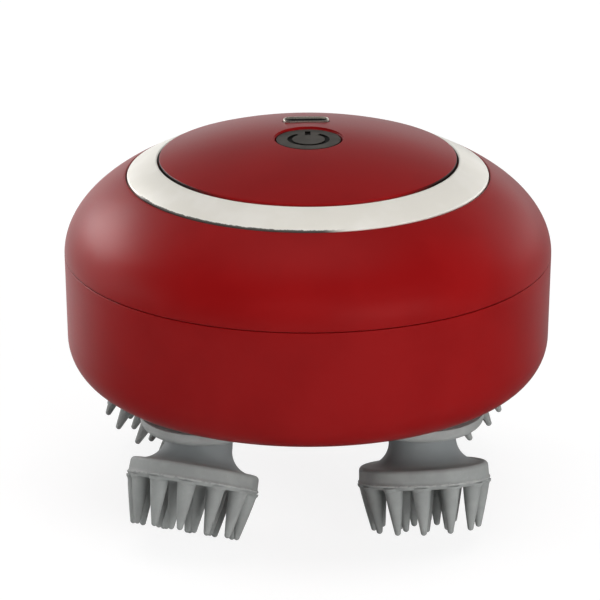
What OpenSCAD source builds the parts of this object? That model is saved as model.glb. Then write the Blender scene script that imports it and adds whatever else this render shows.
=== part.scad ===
// Electric scalp massager: a palm-sized dome with four tilted silicone heads turned by one gear train.
// Millimetres, +Z up. The origin lies on the table under the middle of the dome, which stands on prongs.
// The front is -Y, where the power button lies nearest. Corners are counted front left, front right,
// rear left, rear right.

/* [Housing] */
// Diameter of the body at the seam
body_d = 95; // [93:0.5:98]
// How far the lower housing's side leans in, on the radius
skirt_taper = 0.3; // [0:0.1:0.8]
// Radius of the lower housing's bottom edge
bottom_edge_r = 9; // [8:0.5:10.5]
// Wall of the dome and the lower housing
wall = 2.2; // [1.8:0.1:2.4]
// Open line between the dome and the lower housing
seam_gap = 0.3; // [0.2:0.05:0.5]
// Thickness of the dome's lip inside the lower housing
lip_t = 1.8; // [1.5:0.1:2]
// Depth of the lip below the seam
lip_depth = 3; // [2.5:0.25:4]
// Slack between the lip and the lower housing
lip_gap = 0.15; // [0.1:0.05:0.3]
// Height of the gasket in the lip's groove
gasket_h = 1; // [0.8:0.1:1.2]

/* [Trim ring and cap] */
// Outer diameter of the trim ring
ring_outer_d = 70.2; // [69.5:0.1:72]
// Width of the trim ring
ring_w = 6.2; // [5.5:0.05:6.5]
// Height of the trim ring's outer edge above the seam
ring_up = 15.6; // [15:0.1:16.5]
// How much higher the ring's inner edge stands than its outer edge
ring_rise = 3.3; // [2.9:0.05:3.5]
// Thickness of the trim ring
ring_t = 1.6; // [1.2:0.1:1.8]
// Crown of the centre cap above its edge
cap_crown = 5.1; // [4.6:0.1:5.6]
// Thickness of the centre cap
cap_t = 2; // [1.6:0.1:2.4]
// Gap round the ring and the cap
trim_gap = 0.25; // [0.15:0.05:0.35]
// Thickness of the ledge under the ring and the cap
ledge_t = 2; // [1.6:0.1:2.2]
// Width of the cap's seat on the ledge
cap_seat = 3.6; // [3:0.1:4]

/* [Power button] */
// Diameter of the button
button_d = 12.6; // [12:0.1:13.4]
// Distance of the button's middle towards the front
button_forward = 3.0; // [2:0.1:3.2]
// Depth of the button's face below the cap
button_sink = 0.05; // [0:0.05:0.3]
// Thickness of the button
button_t = 2.8; // [2.6:0.1:3]
// Travel of the button
button_travel = 0.4; // [0.3:0.05:0.5]
// Gap round the button
button_gap = 0.25; // [0.2:0.05:0.3]
// Outer diameter of the power symbol
symbol_d = 8.2; // [7:0.1:9]
// Stroke of the power symbol
symbol_line = 0.85; // [0.6:0.05:1]
// Depth of the power symbol
symbol_depth = 0.35; // [0.2:0.05:0.5]

/* [Charging port] */
// Width of the metal shell
usb_w = 8.94; // [8.9:0.01:9]
// Depth of the metal shell, front to back
usb_d = 3.16; // [3.1:0.01:3.2]
// Wall of the metal shell
usb_shell_t = 0.3; // [0.2:0.05:0.4]
// Height of the receptacle above the circuit board
usb_h = 8.9; // [8.4:0.1:9.2]
// Distance of the port behind the middle
usb_back = 8.8; // [8.6:0.1:9.6]
// Height of the shell's rim above the cap
usb_proud = 0.3; // [0:0.05:0.35]
// Width of the contact tongue
tongue_w = 6.7; // [6.6:0.05:6.8]
// Thickness of the contact tongue
tongue_t = 0.7; // [0.6:0.05:0.8]

/* [Indicator] */
// Diameter of the indicator's lens
lens_d = 1.6; // [1.2:0.1:2]
// Distance of the indicator behind the middle
lens_back = 18.7; // [18:0.1:19.2]

/* [Massage heads] */
// Tilt of the front left head's axis from upright
front_left_tilt = 26; // [20:0.5:29]
// Tilt of the front right head's axis
front_right_tilt = 16; // [14:0.5:24]
// Tilt of the rear left head's axis
rear_left_tilt = 28; // [20:0.5:29]
// Tilt of the rear right head's axis
rear_right_tilt = 28; // [20:0.5:29]
// Direction in which the front left head leans
front_left_lean = 246; // [0:0.1:360]
// Direction in which the front right head leans
front_right_lean = 277.7; // [0:0.1:360]
// Direction in which the rear left head leans
rear_left_lean = 176; // [0:0.1:360]
// Direction in which the rear right head leans
rear_right_lean = 358; // [0:0.1:360]
// Drop of the point where shaft and head axes cross, below the housing
crank_drop = 1.5; // [1:0.1:2]
// Diameter of the turret's collar
collar_d = 24.2; // [23.6:0.1:25]
// Height of the collar
collar_h = 2.6; // [2.3:0.1:2.8]
// Gap between the collar and the housing
collar_gap = 0.2; // [0.2:0.05:0.5]
// Diameter of the silicone neck
neck_d = 12.6; // [12.2:0.1:13]
// Distance from the crossing point down to the plate, along the head's axis
plate_depth = 9.2; // [8.8:0.1:9.6]
// Diameter of the plate
plate_d = 25.6; // [25:0.1:26]
// Thickness of the plate
plate_t = 3.8; // [3.4:0.1:4.2]
// Length of the prongs
prong_len = 9; // [8.6:0.1:9.6]
// Diameter of a prong at the plate
prong_base_d = 3.7; // [3.2:0.1:3.8]
// Diameter of a prong at its tip
prong_tip_d = 1.2; // [1:0.1:1.6]
// Prongs in the outer circle
outer_prongs = 12; // [12:2:14]
// Turn of the circles of prongs about the head's axis
prong_turn = 16; // [0:1:29]
// Diameter of the tips' circle in the outer row
outer_tip_circle = 20.2; // [19.6:0.1:20.6]
// Prongs in the inner circle
inner_prongs = 7; // [5:1:7]
// Diameter of the inner circle at the plate
inner_base_circle = 10.8; // [10:0.1:11.4]
// Diameter of the tips' circle in the inner row
inner_tip_circle = 10.2; // [9.6:0.1:11]
// Diameter of the turret's pin inside the neck
pin_d = 8.8; // [8:0.1:9]
// Diameter of the disc at the pin's end
pin_disc_d = 15; // [14:0.1:15.4]
// Thickness of the disc at the pin's end
pin_disc_t = 1.8; // [1.5:0.1:2]

/* [Gear train] */
// Teeth of a head gear
head_teeth = 35; // [35:1:36]
// Teeth of a drive gear
drive_teeth = 40; // [39:1:41]
// Teeth of the reduction gear's small wheel
reduction_small_teeth = 12; // [12:1:13]
// Face width of the head and drive gears
gear_face = 4; // [3.5:0.1:4.5]
// Module of the motor stage
motor_module = 0.5; // [0.48:0.01:0.52]
// Teeth of the reduction gear's large wheel
reduction_large_teeth = 40; // [38:1:42]
// Teeth of the motor pinion
pinion_teeth = 12; // [12:1:14]
// Face width of the motor stage
motor_face = 3; // [2.5:0.1:3.2]
// Backlash between meshed teeth
backlash = 0.12; // [0.1:0.01:0.16]

/* [Shafts and bushes] */
// Diameter of a head shaft
head_shaft_d = 4; // [3.6:0.1:4.4]
// Diameter of a drive gear's axle
drive_axle_d = 3; // [2.6:0.1:3.2]
// Diameter of the reduction gear's axle
reduction_axle_d = 2.4; // [2:0.1:2.6]
// Running clearance on the radius
run_gap = 0.05; // [0.03:0.01:0.08]
// Clearance of a pressed fit on the radius
press_gap = 0.01; // [0.005:0.005:0.02]
// End play of a gear between its plates
end_play = 0.15; // [0.1:0.05:0.2]
// Wall of a bush
bush_wall = 1.3; // [1.1:0.1:1.5]
// Thickness of a bush's flange
bush_flange_t = 0.6; // [0.5:0.1:0.8]
// Width of a bush's flange
bush_flange_w = 0.9; // [0.6:0.1:1.2]
// Radial width of a shaft seal
seal_w = 2.5; // [2:0.1:2.8]
// Height of a shaft seal
seal_h = 2.6; // [2.4:0.1:2.8]

/* [Gear case] */
// Height of the pillars under the gear case
pillar_h = 2.3; // [2.1:0.1:2.6]
// Thickness of the gear case's floor
case_floor_t = 1.8; // [1.6:0.1:2]
// Thickness of the gear case's side
case_side_t = 1.2; // [1:0.1:1.2]
// Thickness of the gear case's cover
case_cover_t = 1.6; // [1.4:0.1:1.8]
// Gap between the gear case and the housing's rounded floor
case_gap = 0.73; // [0.6:0.01:1]
// Gap between the head gears and the gear case's side
case_side_gap = 0.5; // [0.4:0.1:0.6]
// Height of the head gears above the case's floor
gear_lift = 1.7; // [1.5:0.1:2]
// Gap between the two layers of gears
layer_gap = 1; // [0.9:0.1:1.2]
// Height of the cover above the upper gears
gear_headroom = 1.5; // [1.3:0.1:1.8]

/* [Motor] */
// Diameter of the motor can
motor_d = 24.4; // [23.8:0.1:24.6]
// Length of the motor can
motor_h = 12.3; // [11.8:0.1:13]
// Wall of the motor can
motor_wall = 0.8; // [0.6:0.1:1]
// Diameter of the motor shaft
motor_shaft_d = 2; // [1.8:0.1:2]
// Diameter of the boss on the motor's face
motor_boss_d = 6; // [5.6:0.1:6.4]
// Distance between the motor's two screws
motor_screw_pitch = 17; // [16:0.1:18]
// Thickness of the magnet ring
magnet_t = 1.8; // [1.5:0.1:2]
// Air gap between the rotor and the magnet ring
air_gap = 0.5; // [0.4:0.05:0.7]

/* [Battery] */
// Diameter of the battery cell
cell_d = 18.2; // [17.6:0.1:18.4]
// Gap between the cell's corners and the dome's lip
cell_room = 3.8; // [3.4:0.1:5]
// Gap between the motor and the cell
cell_motor_gap = 0.7; // [0.5:0.1:0.9]
// Thickness of the cradle under the cell
cradle_floor_t = 0.6; // [0.5:0.1:0.8]
// Reach of the cell past each end of its cradle
cradle_end = 4.4; // [3.5:0.1:6]

/* [Circuit board] */
// Gap between the cell and the circuit board
board_gap = 1.05; // [0.9:0.05:1.5]
// Diameter of the circuit board
board_d = 43; // [41:0.5:44]
// Thickness of the circuit board
board_t = 1.6; // [1.2:0.1:1.6]
// Side of the switch's square body
switch_w = 6; // [5.8:0.1:6.2]
// Height of the switch's body
switch_h = 3.5; // [3.3:0.1:3.8]
// Diameter of the switch's plunger
plunger_d = 3.4; // [3:0.1:3.6]
// Distance of the board's screws from the board's edge
board_screw_edge = 3.5; // [3.2:0.1:4]

/* [Fasteners] */
// Thread diameter of the housing and case screws
screw_d = 2.5; // [2.3:0.1:2.6]
// Thread diameter of the motor and board screws
small_screw_d = 2; // [1.8:0.1:2]
// Angle of the cover screws from the left and the right
cover_screw_angle = 15; // [14:0.5:17]
// Distance of the side case screws from the gear case's edge
side_case_screw = 6; // [5.6:0.1:6.5]
// Distance of the front case screw from the line below the cell's axis
front_case_screw = 8; // [7.5:0.1:9]
// Diameter of a screw post
post_d = 6.2; // [5.8:0.1:6.4]

/* [Hidden] */
$fn = 64;

// Steps of a round profile, which revolves into smooth bands
ARC_STEPS = 14;
// Overlap of two shapes that are one piece
JOIN = 0.4;
// Reach of a cut past the surface it opens
CUT = 1;
// Plate left over the end of an axle, under a seal or under a shaft's end
WEB = 0.5;
// Bite of a screw's thread into its hole, on the radius
BITE = 0.2;
// Wall of a gear's hub
HUB_WALL = 1.6;
// Wall round a seal
SEAL_WALL = 1.2;
// Depth of the gasket's groove in the lip
GROOVE = 0.9;
// Width of a slot in the motor's rotor
ROTOR_SLOT = 1.2;
// Width and depth of the recess round the button
RECESS = [0.12, 0.1];
// Slack between the port and its hole in the cap
PORT_SLACK = 0.12;
// Solid foot of the receptacle, under its opening
PORT_FOOT = 1.8;
// Floor of the switch under its plunger
SWITCH_FLOOR = 1.2;
// Height of the indicator's light
LED_H = 0.7;
// Height and reach of the flange round the indicator's lens
LENS_FLANGE = [0.8, 0.8];
// Reach and height of the button's flange
BUTTON_FLANGE = [1.2, 0.7];
// Height of the button's stem
STEM_H = 0.5;
// Thickness of the motor's end cap
END_CAP_T = 1;
// Place and size of the motor's solder tabs
TAB_AT = [7, 3.75];
TAB = [1.8, 0.5, 1.5];
// Wall round a board screw
BOARD_POST_WALL = 1.4;
// Reach of a board screw into the cap's post
BOARD_SCREW_REACH = 3;

// Colours
RED = [0.55, 0.09, 0.10];
SILVER = [0.88, 0.86, 0.83];
GREY = [0.51, 0.52, 0.51];
RUBBER = [0.28, 0.28, 0.27];
STEEL = [0.62, 0.63, 0.65];
BRONZE = [0.66, 0.47, 0.26];
NYLON = [0.92, 0.90, 0.84];
DARK = [0.10, 0.10, 0.11];
BOARD = [0.05, 0.30, 0.16];
CELL = [0.15, 0.33, 0.62];
LENS = [0.95, 0.95, 0.92];

// Radii
body_r = body_d / 2;
bottom_r = body_r - skirt_taper;
ring_or = ring_outer_d / 2;
ring_ir = ring_or - ring_w;
collar_r = collar_d / 2;
plate_r = plate_d / 2;
prong_tip_r = prong_tip_d / 2;
outer_base_circle = plate_d - prong_base_d - 0.2;
shaft_r = head_shaft_d / 2;
motor_r = motor_d / 2;
cell_r = cell_d / 2;
button_r = button_d / 2;
post_r = post_d / 2;
screw_r = screw_d / 2;

// Tooth height above the pitch circle, as a share of the module
ADDENDUM = 0.8;
// Tooth depth below the pitch circle, as a share of the module
DEDENDUM = 1.05;
PRESSURE_ANGLE = 20;

// The gear case fits in the housing's rounded floor, at the height of its pillars
floor_edge_r = bottom_edge_r - wall;
floor_room = sqrt(pow(floor_edge_r, 2) - pow(floor_edge_r - pillar_h, 2));
case_or = bottom_r - bottom_edge_r + floor_room - case_gap;
case_ir = case_or - case_side_t;

// The two drive gears mesh on the centre line, and each drives a front and a rear head gear. The train
// fills the gear case, which gives the module.
meshed_teeth = (drive_teeth + head_teeth) / 2;
corner_teeth = (drive_teeth / 2 + sqrt(2 * pow(meshed_teeth, 2) - pow(drive_teeth / 2, 2))) / 2;
gear_module = (case_ir - case_side_gap) / (sqrt(2) * corner_teeth + head_teeth / 2 + ADDENDUM);
corner = corner_teeth * gear_module;

// Pitch radii
head_pr = gear_module * head_teeth / 2;
drive_pr = gear_module * drive_teeth / 2;
small_pr = gear_module * reduction_small_teeth / 2;
large_pr = motor_module * reduction_large_teeth / 2;
pinion_pr = motor_module * pinion_teeth / 2;

CORNERS = [[-corner, -corner], [corner, -corner], [-corner, corner], [corner, corner]];
CORNER_NAMES = ["front_left", "front_right", "rear_left", "rear_right"];
LEANS = [front_left_lean, front_right_lean, rear_left_lean, rear_right_lean];
TILTS = [front_left_tilt, front_right_tilt, rear_left_tilt, rear_right_tilt];
left_drive_at = [-drive_pr, 0];
right_drive_at = [drive_pr, 0];
// The reduction gear meshes with the left drive gear below and with the motor pinion above
to_drive = drive_pr + small_pr;
to_motor = large_pr + pinion_pr;
along = (to_drive * to_drive - to_motor * to_motor + drive_pr * drive_pr) / (2 * drive_pr);
reduction_at = [along - drive_pr, sqrt(to_drive * to_drive - along * along)];

// Heights, counted up from the table: the lowest prong tip touches it
tip_depth = plate_depth + plate_t + prong_len - prong_tip_r;
lowest_tip = max([for (t = TILTS) tip_depth * cos(t) + outer_tip_circle / 2 * sin(t)]) + prong_tip_r;
bottom_z = crank_drop + lowest_tip;
crank_z = bottom_z - crank_drop;
collar_top = bottom_z - collar_gap;
collar_bottom = collar_top - collar_h;
floor_z = bottom_z + wall;
case_z = floor_z + pillar_h;
case_top = case_z + case_floor_t;
gear_z = case_top + gear_lift;
large_z = gear_z + gear_face + layer_gap;
cover_z = large_z + motor_face + gear_headroom;
motor_z = cover_z + case_cover_t;
motor_top = motor_z + motor_h;
cell_z = motor_z + cradle_floor_t + cell_r;
cell_y = -(motor_r + cell_motor_gap + cell_r);
board_z = cell_z + cell_r + board_gap;
board_top = board_z + board_t;
hub_z = case_top + bush_flange_t + end_play;
hub_top = cover_z - bush_flange_t - end_play;

// The cell ends short of the dome's lip
lip_r = body_r - wall - lip_gap;
cell_l = 2 * sqrt(pow(lip_r - lip_t - cell_room, 2) - pow(cell_y - cell_r, 2));
cradle_l = cell_l - 2 * cradle_end;

// Heights of the top. The port stands on the board and reaches the cap, which gives the seam's height.
cap_ball_r = (ring_ir * ring_ir + cap_crown * cap_crown) / (2 * cap_crown);
port_drop = cap_ball_r - sqrt(cap_ball_r * cap_ball_r - usb_back * usb_back);
seam_z = board_top + usb_h - usb_proud + port_drop - cap_crown - ring_rise - ring_up;
dome_h = ring_up / sqrt(1 - pow(ring_or / body_r, 2));
ring_z = seam_z + ring_up;
ring_slope = ring_rise / (ring_or - ring_ir);
function ring_top(r) = ring_z + (ring_or - r) * ring_slope;
cap_edge_z = ring_z + ring_rise;
seat_z = cap_edge_z - ring_t;
cap_ball_z = cap_edge_z + cap_crown - cap_ball_r;
function cap_z(r) = cap_ball_z + sqrt(cap_ball_r * cap_ball_r - r * r);
function cap_under(r) = cap_ball_z + sqrt(pow(cap_ball_r - cap_t, 2) - r * r);
ledge_ir = ring_ir - cap_seat;
board_screw_r = board_d / 2 - board_screw_edge;
button_face = cap_z(button_forward + button_r) - button_sink;
button_z = button_face - button_t;
plunger_top = button_z - STEM_H;
lens_r = lens_d / 2;
lens_flange_top = cap_under(lens_back + lens_r + LENS_FLANGE[1]) - 0.05;
small_screw_r = small_screw_d / 2;
axle_r = drive_axle_d / 2;
reduction_axle_r = reduction_axle_d / 2;
motor_shaft_r = motor_shaft_d / 2;

// Screws: the head's width and height follow the thread
HEAD_W = 1.85;
HEAD_H = 0.6;
SLOT_W = 0.28;
screw_gap = 0.2;
cover_post_top = seam_z + 1;
cover_floor_t = 3;
cover_screw_l = 11;
case_screw_l = cover_z + case_cover_t - floor_z + 0.4;
// The cover screws lie under the middle of the trim ring, which hides them
COVER_SCREWS = [for (a = [0, 180], s = [-1, 1]) let (t = a + s * cover_screw_angle)
    (ring_ir + ring_or) / 2 * [cos(t), sin(t)]];
case_screw_x = case_or - side_case_screw;
case_screw_y = front_case_screw - cell_y;
CASE_SCREWS = [[0, -case_screw_y], [0, case_screw_y], [-case_screw_x, 0], [case_screw_x, 0]];
BOARD_SCREWS = [for (a = [45:90:315]) board_screw_r * [cos(a), sin(a)]];
MOTOR_SCREWS = [for (s = [-1, 1]) s * motor_screw_pitch / 2 * [cos(30), -sin(30)]];

// Radius of a lead
LEAD_R = 0.55;

// --- Shapes -------------------------------------------------------------------------------------

// Points of an arc round c, from angle a to angle b
function arc(c, r, a, b) =
    [for (i = [0:ARC_STEPS]) let (t = a + (b - a) * i / ARC_STEPS) c + r * [cos(t), sin(t)]];

// Points of the dome's ellipse, shrunk by t, from radius r0 in to radius r1
function dome_arc(t, r0, r1) =
    let (a = acos(r0 / (body_r - t)), b = acos(r1 / (body_r - t)), n = 2 * ARC_STEPS)
    [for (i = [0:n]) let (c = a + (b - a) * i / n) [(body_r - t) * cos(c), seam_z + (dome_h - t) * sin(c)]];

module at_each(places) {
    for (p = places) translate([p[0], p[1], 0]) children();
}

// A tube standing at z
module tube(z, h, r_out, r_in) {
    translate([0, 0, z]) rotate_extrude() translate([r_in, 0]) square([r_out - r_in, h]);
}

// A plain rod standing at z
module rod(z, h, r) {
    translate([0, 0, z]) cylinder(r = r, h = h);
}

// A pan-head screw: its head rests on z and its thread points down
module screw(z, d, l) {
    head_r = d * HEAD_W / 2;
    difference() {
        union() {
            rod(z - l, l + JOIN, d / 2);
            rod(z, d * HEAD_H, head_r);
        }
        for (a = [0, 90]) rotate(a)
            translate([-head_r * 0.6, -d * SLOT_W / 2, z + d * HEAD_H * 0.45])
            cube([head_r * 1.2, d * SLOT_W, d]);
    }
}

// A rounded slot of width w along X and depth d along Y
module stadium(w, d) {
    square([w - d, d], center = true);
    for (s = [-1, 1]) translate([s * (w - d) / 2, 0]) circle(d = d);
}

// Smooth line through a few points
function curve(p, n) = [for (i = [0:len(p) - 2], k = [0:n - 1]) spot(p, i, k / n), p[len(p) - 1]];
function spot(p, i, t) =
    let (a = p[max(i - 1, 0)], b = p[i], c = p[i + 1], d = p[min(i + 2, len(p) - 1)])
    0.5 * (2 * b + (c - a) * t + (2 * a - 5 * b + 4 * c - d) * t * t + (3 * b - a - 3 * c + d) * t * t * t);

// A lead of radius r along a line of points
module lead(points, r) {
    p = curve(points, 4);
    n = len(p);
    sides = 8;
    way = [for (i = [0:n - 1]) let (v = p[min(i + 1, n - 1)] - p[max(i - 1, 0)]) v / norm(v)];
    across = [for (w = way) let (v = cross(w, [0.31, 0.87, 0.12])) v / norm(v)];
    rings = [for (i = [0:n - 1], k = [0:sides - 1])
        p[i] + r * (cos(360 * k / sides) * across[i] + sin(360 * k / sides) * cross(way[i], across[i]))];
    polyhedron(rings, concat(
        [[for (k = [0:sides - 1]) k]],
        [for (i = [0:n - 2], k = [0:sides - 1]) let (a = i * sides, b = a + sides, l = (k + 1) % sides)
            [a + k, b + k, b + l, a + l]],
        [[for (k = [sides - 1:-1:0]) (n - 1) * sides + k]]
    ));
}

// --- Gears --------------------------------------------------------------------------------------

function involute(a) = tan(a) * 180 / PI - a;

// Half the angle that a tooth covers at radius r
function tooth_angle(r, m, teeth) =
    let (pr = m * teeth / 2, base = pr * cos(PRESSURE_ANGLE))
    90 / teeth - backlash / 4 / pr * 180 / PI + involute(PRESSURE_ANGLE)
        - (r > base ? involute(acos(base / r)) : 0);

module gear_outline(m, teeth) {
    pr = m * teeth / 2;
    root = pr - DEDENDUM * m;
    tip = pr + ADDENDUM * m;
    base = max(root + 0.02, pr * cos(PRESSURE_ANGLE));
    radii = concat([root], [for (i = [0:4]) base + (tip - base) * i / 4]);
    flank = [for (r = radii) [r, tooth_angle(r, m, teeth)]];
    last = len(flank) - 1;
    tooth = concat([for (f = flank) [f[0], -f[1]]], [for (i = [last:-1:0]) flank[i]]);
    polygon([for (t = [0:teeth - 1], f = tooth) let (a = 360 * t / teeth + f[1]) f[0] * [cos(a), sin(a)]]);
}

// The angle of a tooth on the second gear of a meshed pair, from the first gear's place, teeth and angle
function meshed(at_a, teeth_a, angle_a, at_b, teeth_b) =
    let (line = atan2(at_b[1] - at_a[1], at_b[0] - at_a[0]), share = (angle_a - line) * teeth_a / 360)
    line + 180 + (0.5 - share) * 360 / teeth_b;

left_drive_angle = 0;
right_drive_angle = meshed(left_drive_at, drive_teeth, left_drive_angle, right_drive_at, drive_teeth);
reduction_small_angle =
    meshed(left_drive_at, drive_teeth, left_drive_angle, reduction_at, reduction_small_teeth);
reduction_large_angle = 0;
pinion_angle = meshed(reduction_at, reduction_large_teeth, reduction_large_angle, [0, 0], pinion_teeth);
function head_gear_angle(i) = meshed(
    i % 2 == 0 ? left_drive_at : right_drive_at, drive_teeth,
    i % 2 == 0 ? left_drive_angle : right_drive_angle, CORNERS[i], head_teeth);

module wheel(z, face, m, teeth, angle) {
    translate([0, 0, z]) rotate(angle) linear_extrude(face) gear_outline(m, teeth);
}

// --- Housing ------------------------------------------------------------------------------------

module lower_housing() {
    edge_z = bottom_z + bottom_edge_r;
    inner_edge_r = bottom_edge_r - wall;
    top = seam_z - seam_gap / 2;
    color(RED) difference() {
        union() {
            rotate_extrude($fn = 128) difference() {
                polygon(concat([[0, bottom_z]],
                    arc([bottom_r - bottom_edge_r, edge_z], bottom_edge_r, -90, 0),
                    [[body_r, top], [0, top]]));
                polygon(concat([[-CUT, floor_z]],
                    arc([bottom_r - bottom_edge_r, edge_z], inner_edge_r, -90, 0),
                    [[body_r - wall, top + CUT], [-CUT, top + CUT]]));
            }
            at_each(CORNERS)
                rod(floor_z - JOIN, bottom_z + WEB + seal_h - floor_z + JOIN, shaft_r + seal_w + SEAL_WALL);
            at_each(CASE_SCREWS) rod(floor_z - JOIN, pillar_h + JOIN, post_r);
            at_each(COVER_SCREWS) rod(floor_z - JOIN, cover_post_top - floor_z + JOIN, post_r);
        }
        at_each(CORNERS) {
            rod(bottom_z - CUT, seal_h + 2 * CUT, shaft_r + 2 * screw_gap);
            rod(bottom_z + WEB, seal_h + CUT, shaft_r + seal_w);
        }
        at_each(CASE_SCREWS) rod(floor_z - CUT, pillar_h + 2 * CUT, screw_r - BITE);
        at_each(COVER_SCREWS) rod(cover_post_top - cover_screw_l, cover_screw_l + CUT, screw_r - BITE);
    }
}

module upper_cover() {
    hole_r = ring_or + trim_gap;
    root_r = hole_r + 0.8 * wall;
    foot = seam_z + seam_gap / 2;
    boss_z = cover_post_top + 0.1;
    boss_r = post_r + 0.3;
    head_z = boss_z + cover_floor_t;
    groove_z = seam_z - lip_depth / 2 - gasket_h / 2;
    color(RED) difference() {
        union() {
            rotate_extrude($fn = 128) union() {
                polygon(concat(dome_arc(0, body_r * cos(asin(seam_gap / 2 / dome_h)), hole_r),
                    [for (i = [2 * ARC_STEPS:-1:0]) dome_arc(wall, body_r - wall - 0.01, hole_r)[i]],
                    [[body_r - wall, foot]]));
                polygon([[ledge_ir, seat_z], [ring_ir, seat_z], [hole_r, ring_top(hole_r) - ring_t],
                    [root_r, ring_z - ring_t - 0.6], [root_r, ring_z - ring_t - ledge_t],
                    [hole_r, ring_z - ring_t - ledge_t], [ring_ir, seat_z - ledge_t],
                    [ledge_ir, seat_z - ledge_t]]);
                translate([lip_r - lip_t, seam_z - lip_depth]) square([lip_t, lip_depth + 4]);
            }
            at_each(COVER_SCREWS) rod(boss_z, ring_z - ring_t - boss_z, boss_r);
        }
        tube(groove_z, gasket_h, lip_r + CUT, lip_r - GROOVE);
        at_each(COVER_SCREWS) {
            rod(boss_z - CUT, 3 * CUT + cover_floor_t, screw_r + screw_gap);
            rod(head_z, dome_h, screw_d * HEAD_W / 2 + screw_gap);
        }
    }
}

module housing_gasket() {
    outer_r = body_r - wall - 2 / 3 * lip_gap;
    groove_r = lip_r - GROOVE;
    color(RUBBER) tube(seam_z - lip_depth / 2 - gasket_h / 2, gasket_h, outer_r, groove_r);
}

module trim_ring() {
    r0 = ring_ir + trim_gap;
    soft = 0.2;
    depth = ring_t - press_gap;
    color(SILVER) rotate_extrude($fn = 128) polygon([
        [r0, ring_top(r0) - depth], [ring_or, ring_z - depth], [ring_or, ring_z - soft],
        [ring_or - soft, ring_top(ring_or - soft)],
        [r0 + soft, ring_top(r0 + soft)], [r0, ring_top(r0) - soft]
    ]);
}

module top_cap() {
    post_top = cap_under(board_screw_r) + cap_t / 2;
    color(RED) difference() {
        union() {
            difference() {
                intersection() {
                    translate([0, 0, cap_ball_z]) sphere(r = cap_ball_r, $fn = 128);
                    rod(seat_z, cap_ball_r, ring_ir);
                }
                intersection() {
                    translate([0, 0, cap_ball_z]) sphere(r = cap_ball_r - cap_t, $fn = 128);
                    rod(seat_z - CUT, cap_ball_r, ring_ir - cap_t);
                }
            }
            at_each(BOARD_SCREWS) rod(board_top, post_top - board_top, small_screw_r + BOARD_POST_WALL);
        }
        translate([0, -button_forward, 0]) {
            rod(seat_z, dome_h, button_r + button_gap);
            rod(cap_z(button_forward + button_r) - RECESS[1], dome_h, button_r + button_gap + RECESS[0]);
        }
        translate([0, usb_back, seat_z]) linear_extrude(dome_h)
            stadium(usb_w + 2 * PORT_SLACK, usb_d + 2 * PORT_SLACK);
        translate([0, lens_back, 0]) rod(seat_z, dome_h, lens_r + run_gap);
        at_each(BOARD_SCREWS) rod(board_top - CUT, BOARD_SCREW_REACH + 2 * CUT, small_screw_r - BITE);
    }
}

// --- Button, port and indicator -----------------------------------------------------------------

module power_button() {
    soft = 0.4;
    color(RUBBER) translate([0, -button_forward, 0]) difference() {
        union() {
            rotate_extrude() union() {
                polygon([[0, button_z], [button_r, button_z], [button_r, button_face - soft],
                    [button_r - 0.3 * soft, button_face - 0.3 * soft],
                    [button_r - soft, button_face], [0, button_face]]);
                translate([0, button_z]) square([button_r + BUTTON_FLANGE[0], BUTTON_FLANGE[1]]);
            }
            rod(plunger_top, STEM_H + JOIN, plunger_d / 2 + 0.4);
        }
        translate([0, 0, button_face - symbol_depth]) linear_extrude(CUT) power_symbol();
    }
}

// A ring that is open at the back, with a short bar in the opening
module power_symbol() {
    r = symbol_d / 2;
    difference() {
        circle(r = r);
        circle(r = r - symbol_line);
        polygon([[0, 0], [r * 1.2, 2 * r], [-r * 1.2, 2 * r]]);
    }
    translate([-symbol_line / 2, r - 1.3 * symbol_line]) square([symbol_line, 2 * symbol_line]);
}

module usb_shell() {
    color(STEEL) translate([0, usb_back, board_top]) difference() {
        linear_extrude(usb_h) stadium(usb_w, usb_d);
        translate([0, 0, PORT_FOOT]) linear_extrude(usb_h)
            stadium(usb_w - 2 * usb_shell_t, usb_d - 2 * usb_shell_t);
    }
}

module usb_tongue() {
    color(DARK) translate([-tongue_w / 2, usb_back - tongue_t / 2, board_top + PORT_FOOT])
        cube([tongue_w, tongue_t, usb_h - PORT_FOOT - 0.8]);
}

module status_led() {
    color(LENS) translate([-0.8, lens_back - 0.4, board_top]) cube([1.6, 0.8, LED_H]);
}

module indicator_lens() {
    foot = board_top + LED_H + 0.1;
    color(LENS) translate([0, lens_back, 0]) {
        rod(foot, cap_z(lens_back) - foot - 0.05, lens_r);
        rod(lens_flange_top - LENS_FLANGE[0], LENS_FLANGE[0], lens_r + LENS_FLANGE[1]);
    }
}

// --- Circuit board ------------------------------------------------------------------------------

module circuit_board() {
    color(BOARD) difference() {
        rod(board_z, board_t, board_d / 2);
        at_each(BOARD_SCREWS) rod(board_z - CUT, board_t + 2 * CUT, small_screw_r + screw_gap / 2);
    }
}

module board_chips() {
    color(DARK) {
        translate([6.5, -9, board_top]) cube([5, 5, 0.9]);
        translate([-11.5, -8, board_top]) cube([4, 5, 1.2]);
        translate([-3, -14, board_top]) cube([6, 3, 1.6]);
        translate([8, 1, board_top]) cube([3, 2, 1.1]);
        translate([-11, 1, board_top]) cube([3, 2, 1.1]);
    }
}

module switch_body() {
    bore_r = plunger_d / 2 + run_gap;
    color(DARK) translate([0, -button_forward, 0]) difference() {
        translate([-switch_w / 2, -switch_w / 2, board_top]) cube([switch_w, switch_w, switch_h]);
        rod(board_top + SWITCH_FLOOR, switch_h, bore_r);
    }
}

module switch_plunger() {
    foot = board_top + SWITCH_FLOOR + button_travel + 0.1;
    color(NYLON) translate([0, -button_forward, 0]) rod(foot, plunger_top - foot, plunger_d / 2);
}

// --- Gear case ----------------------------------------------------------------------------------

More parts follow.
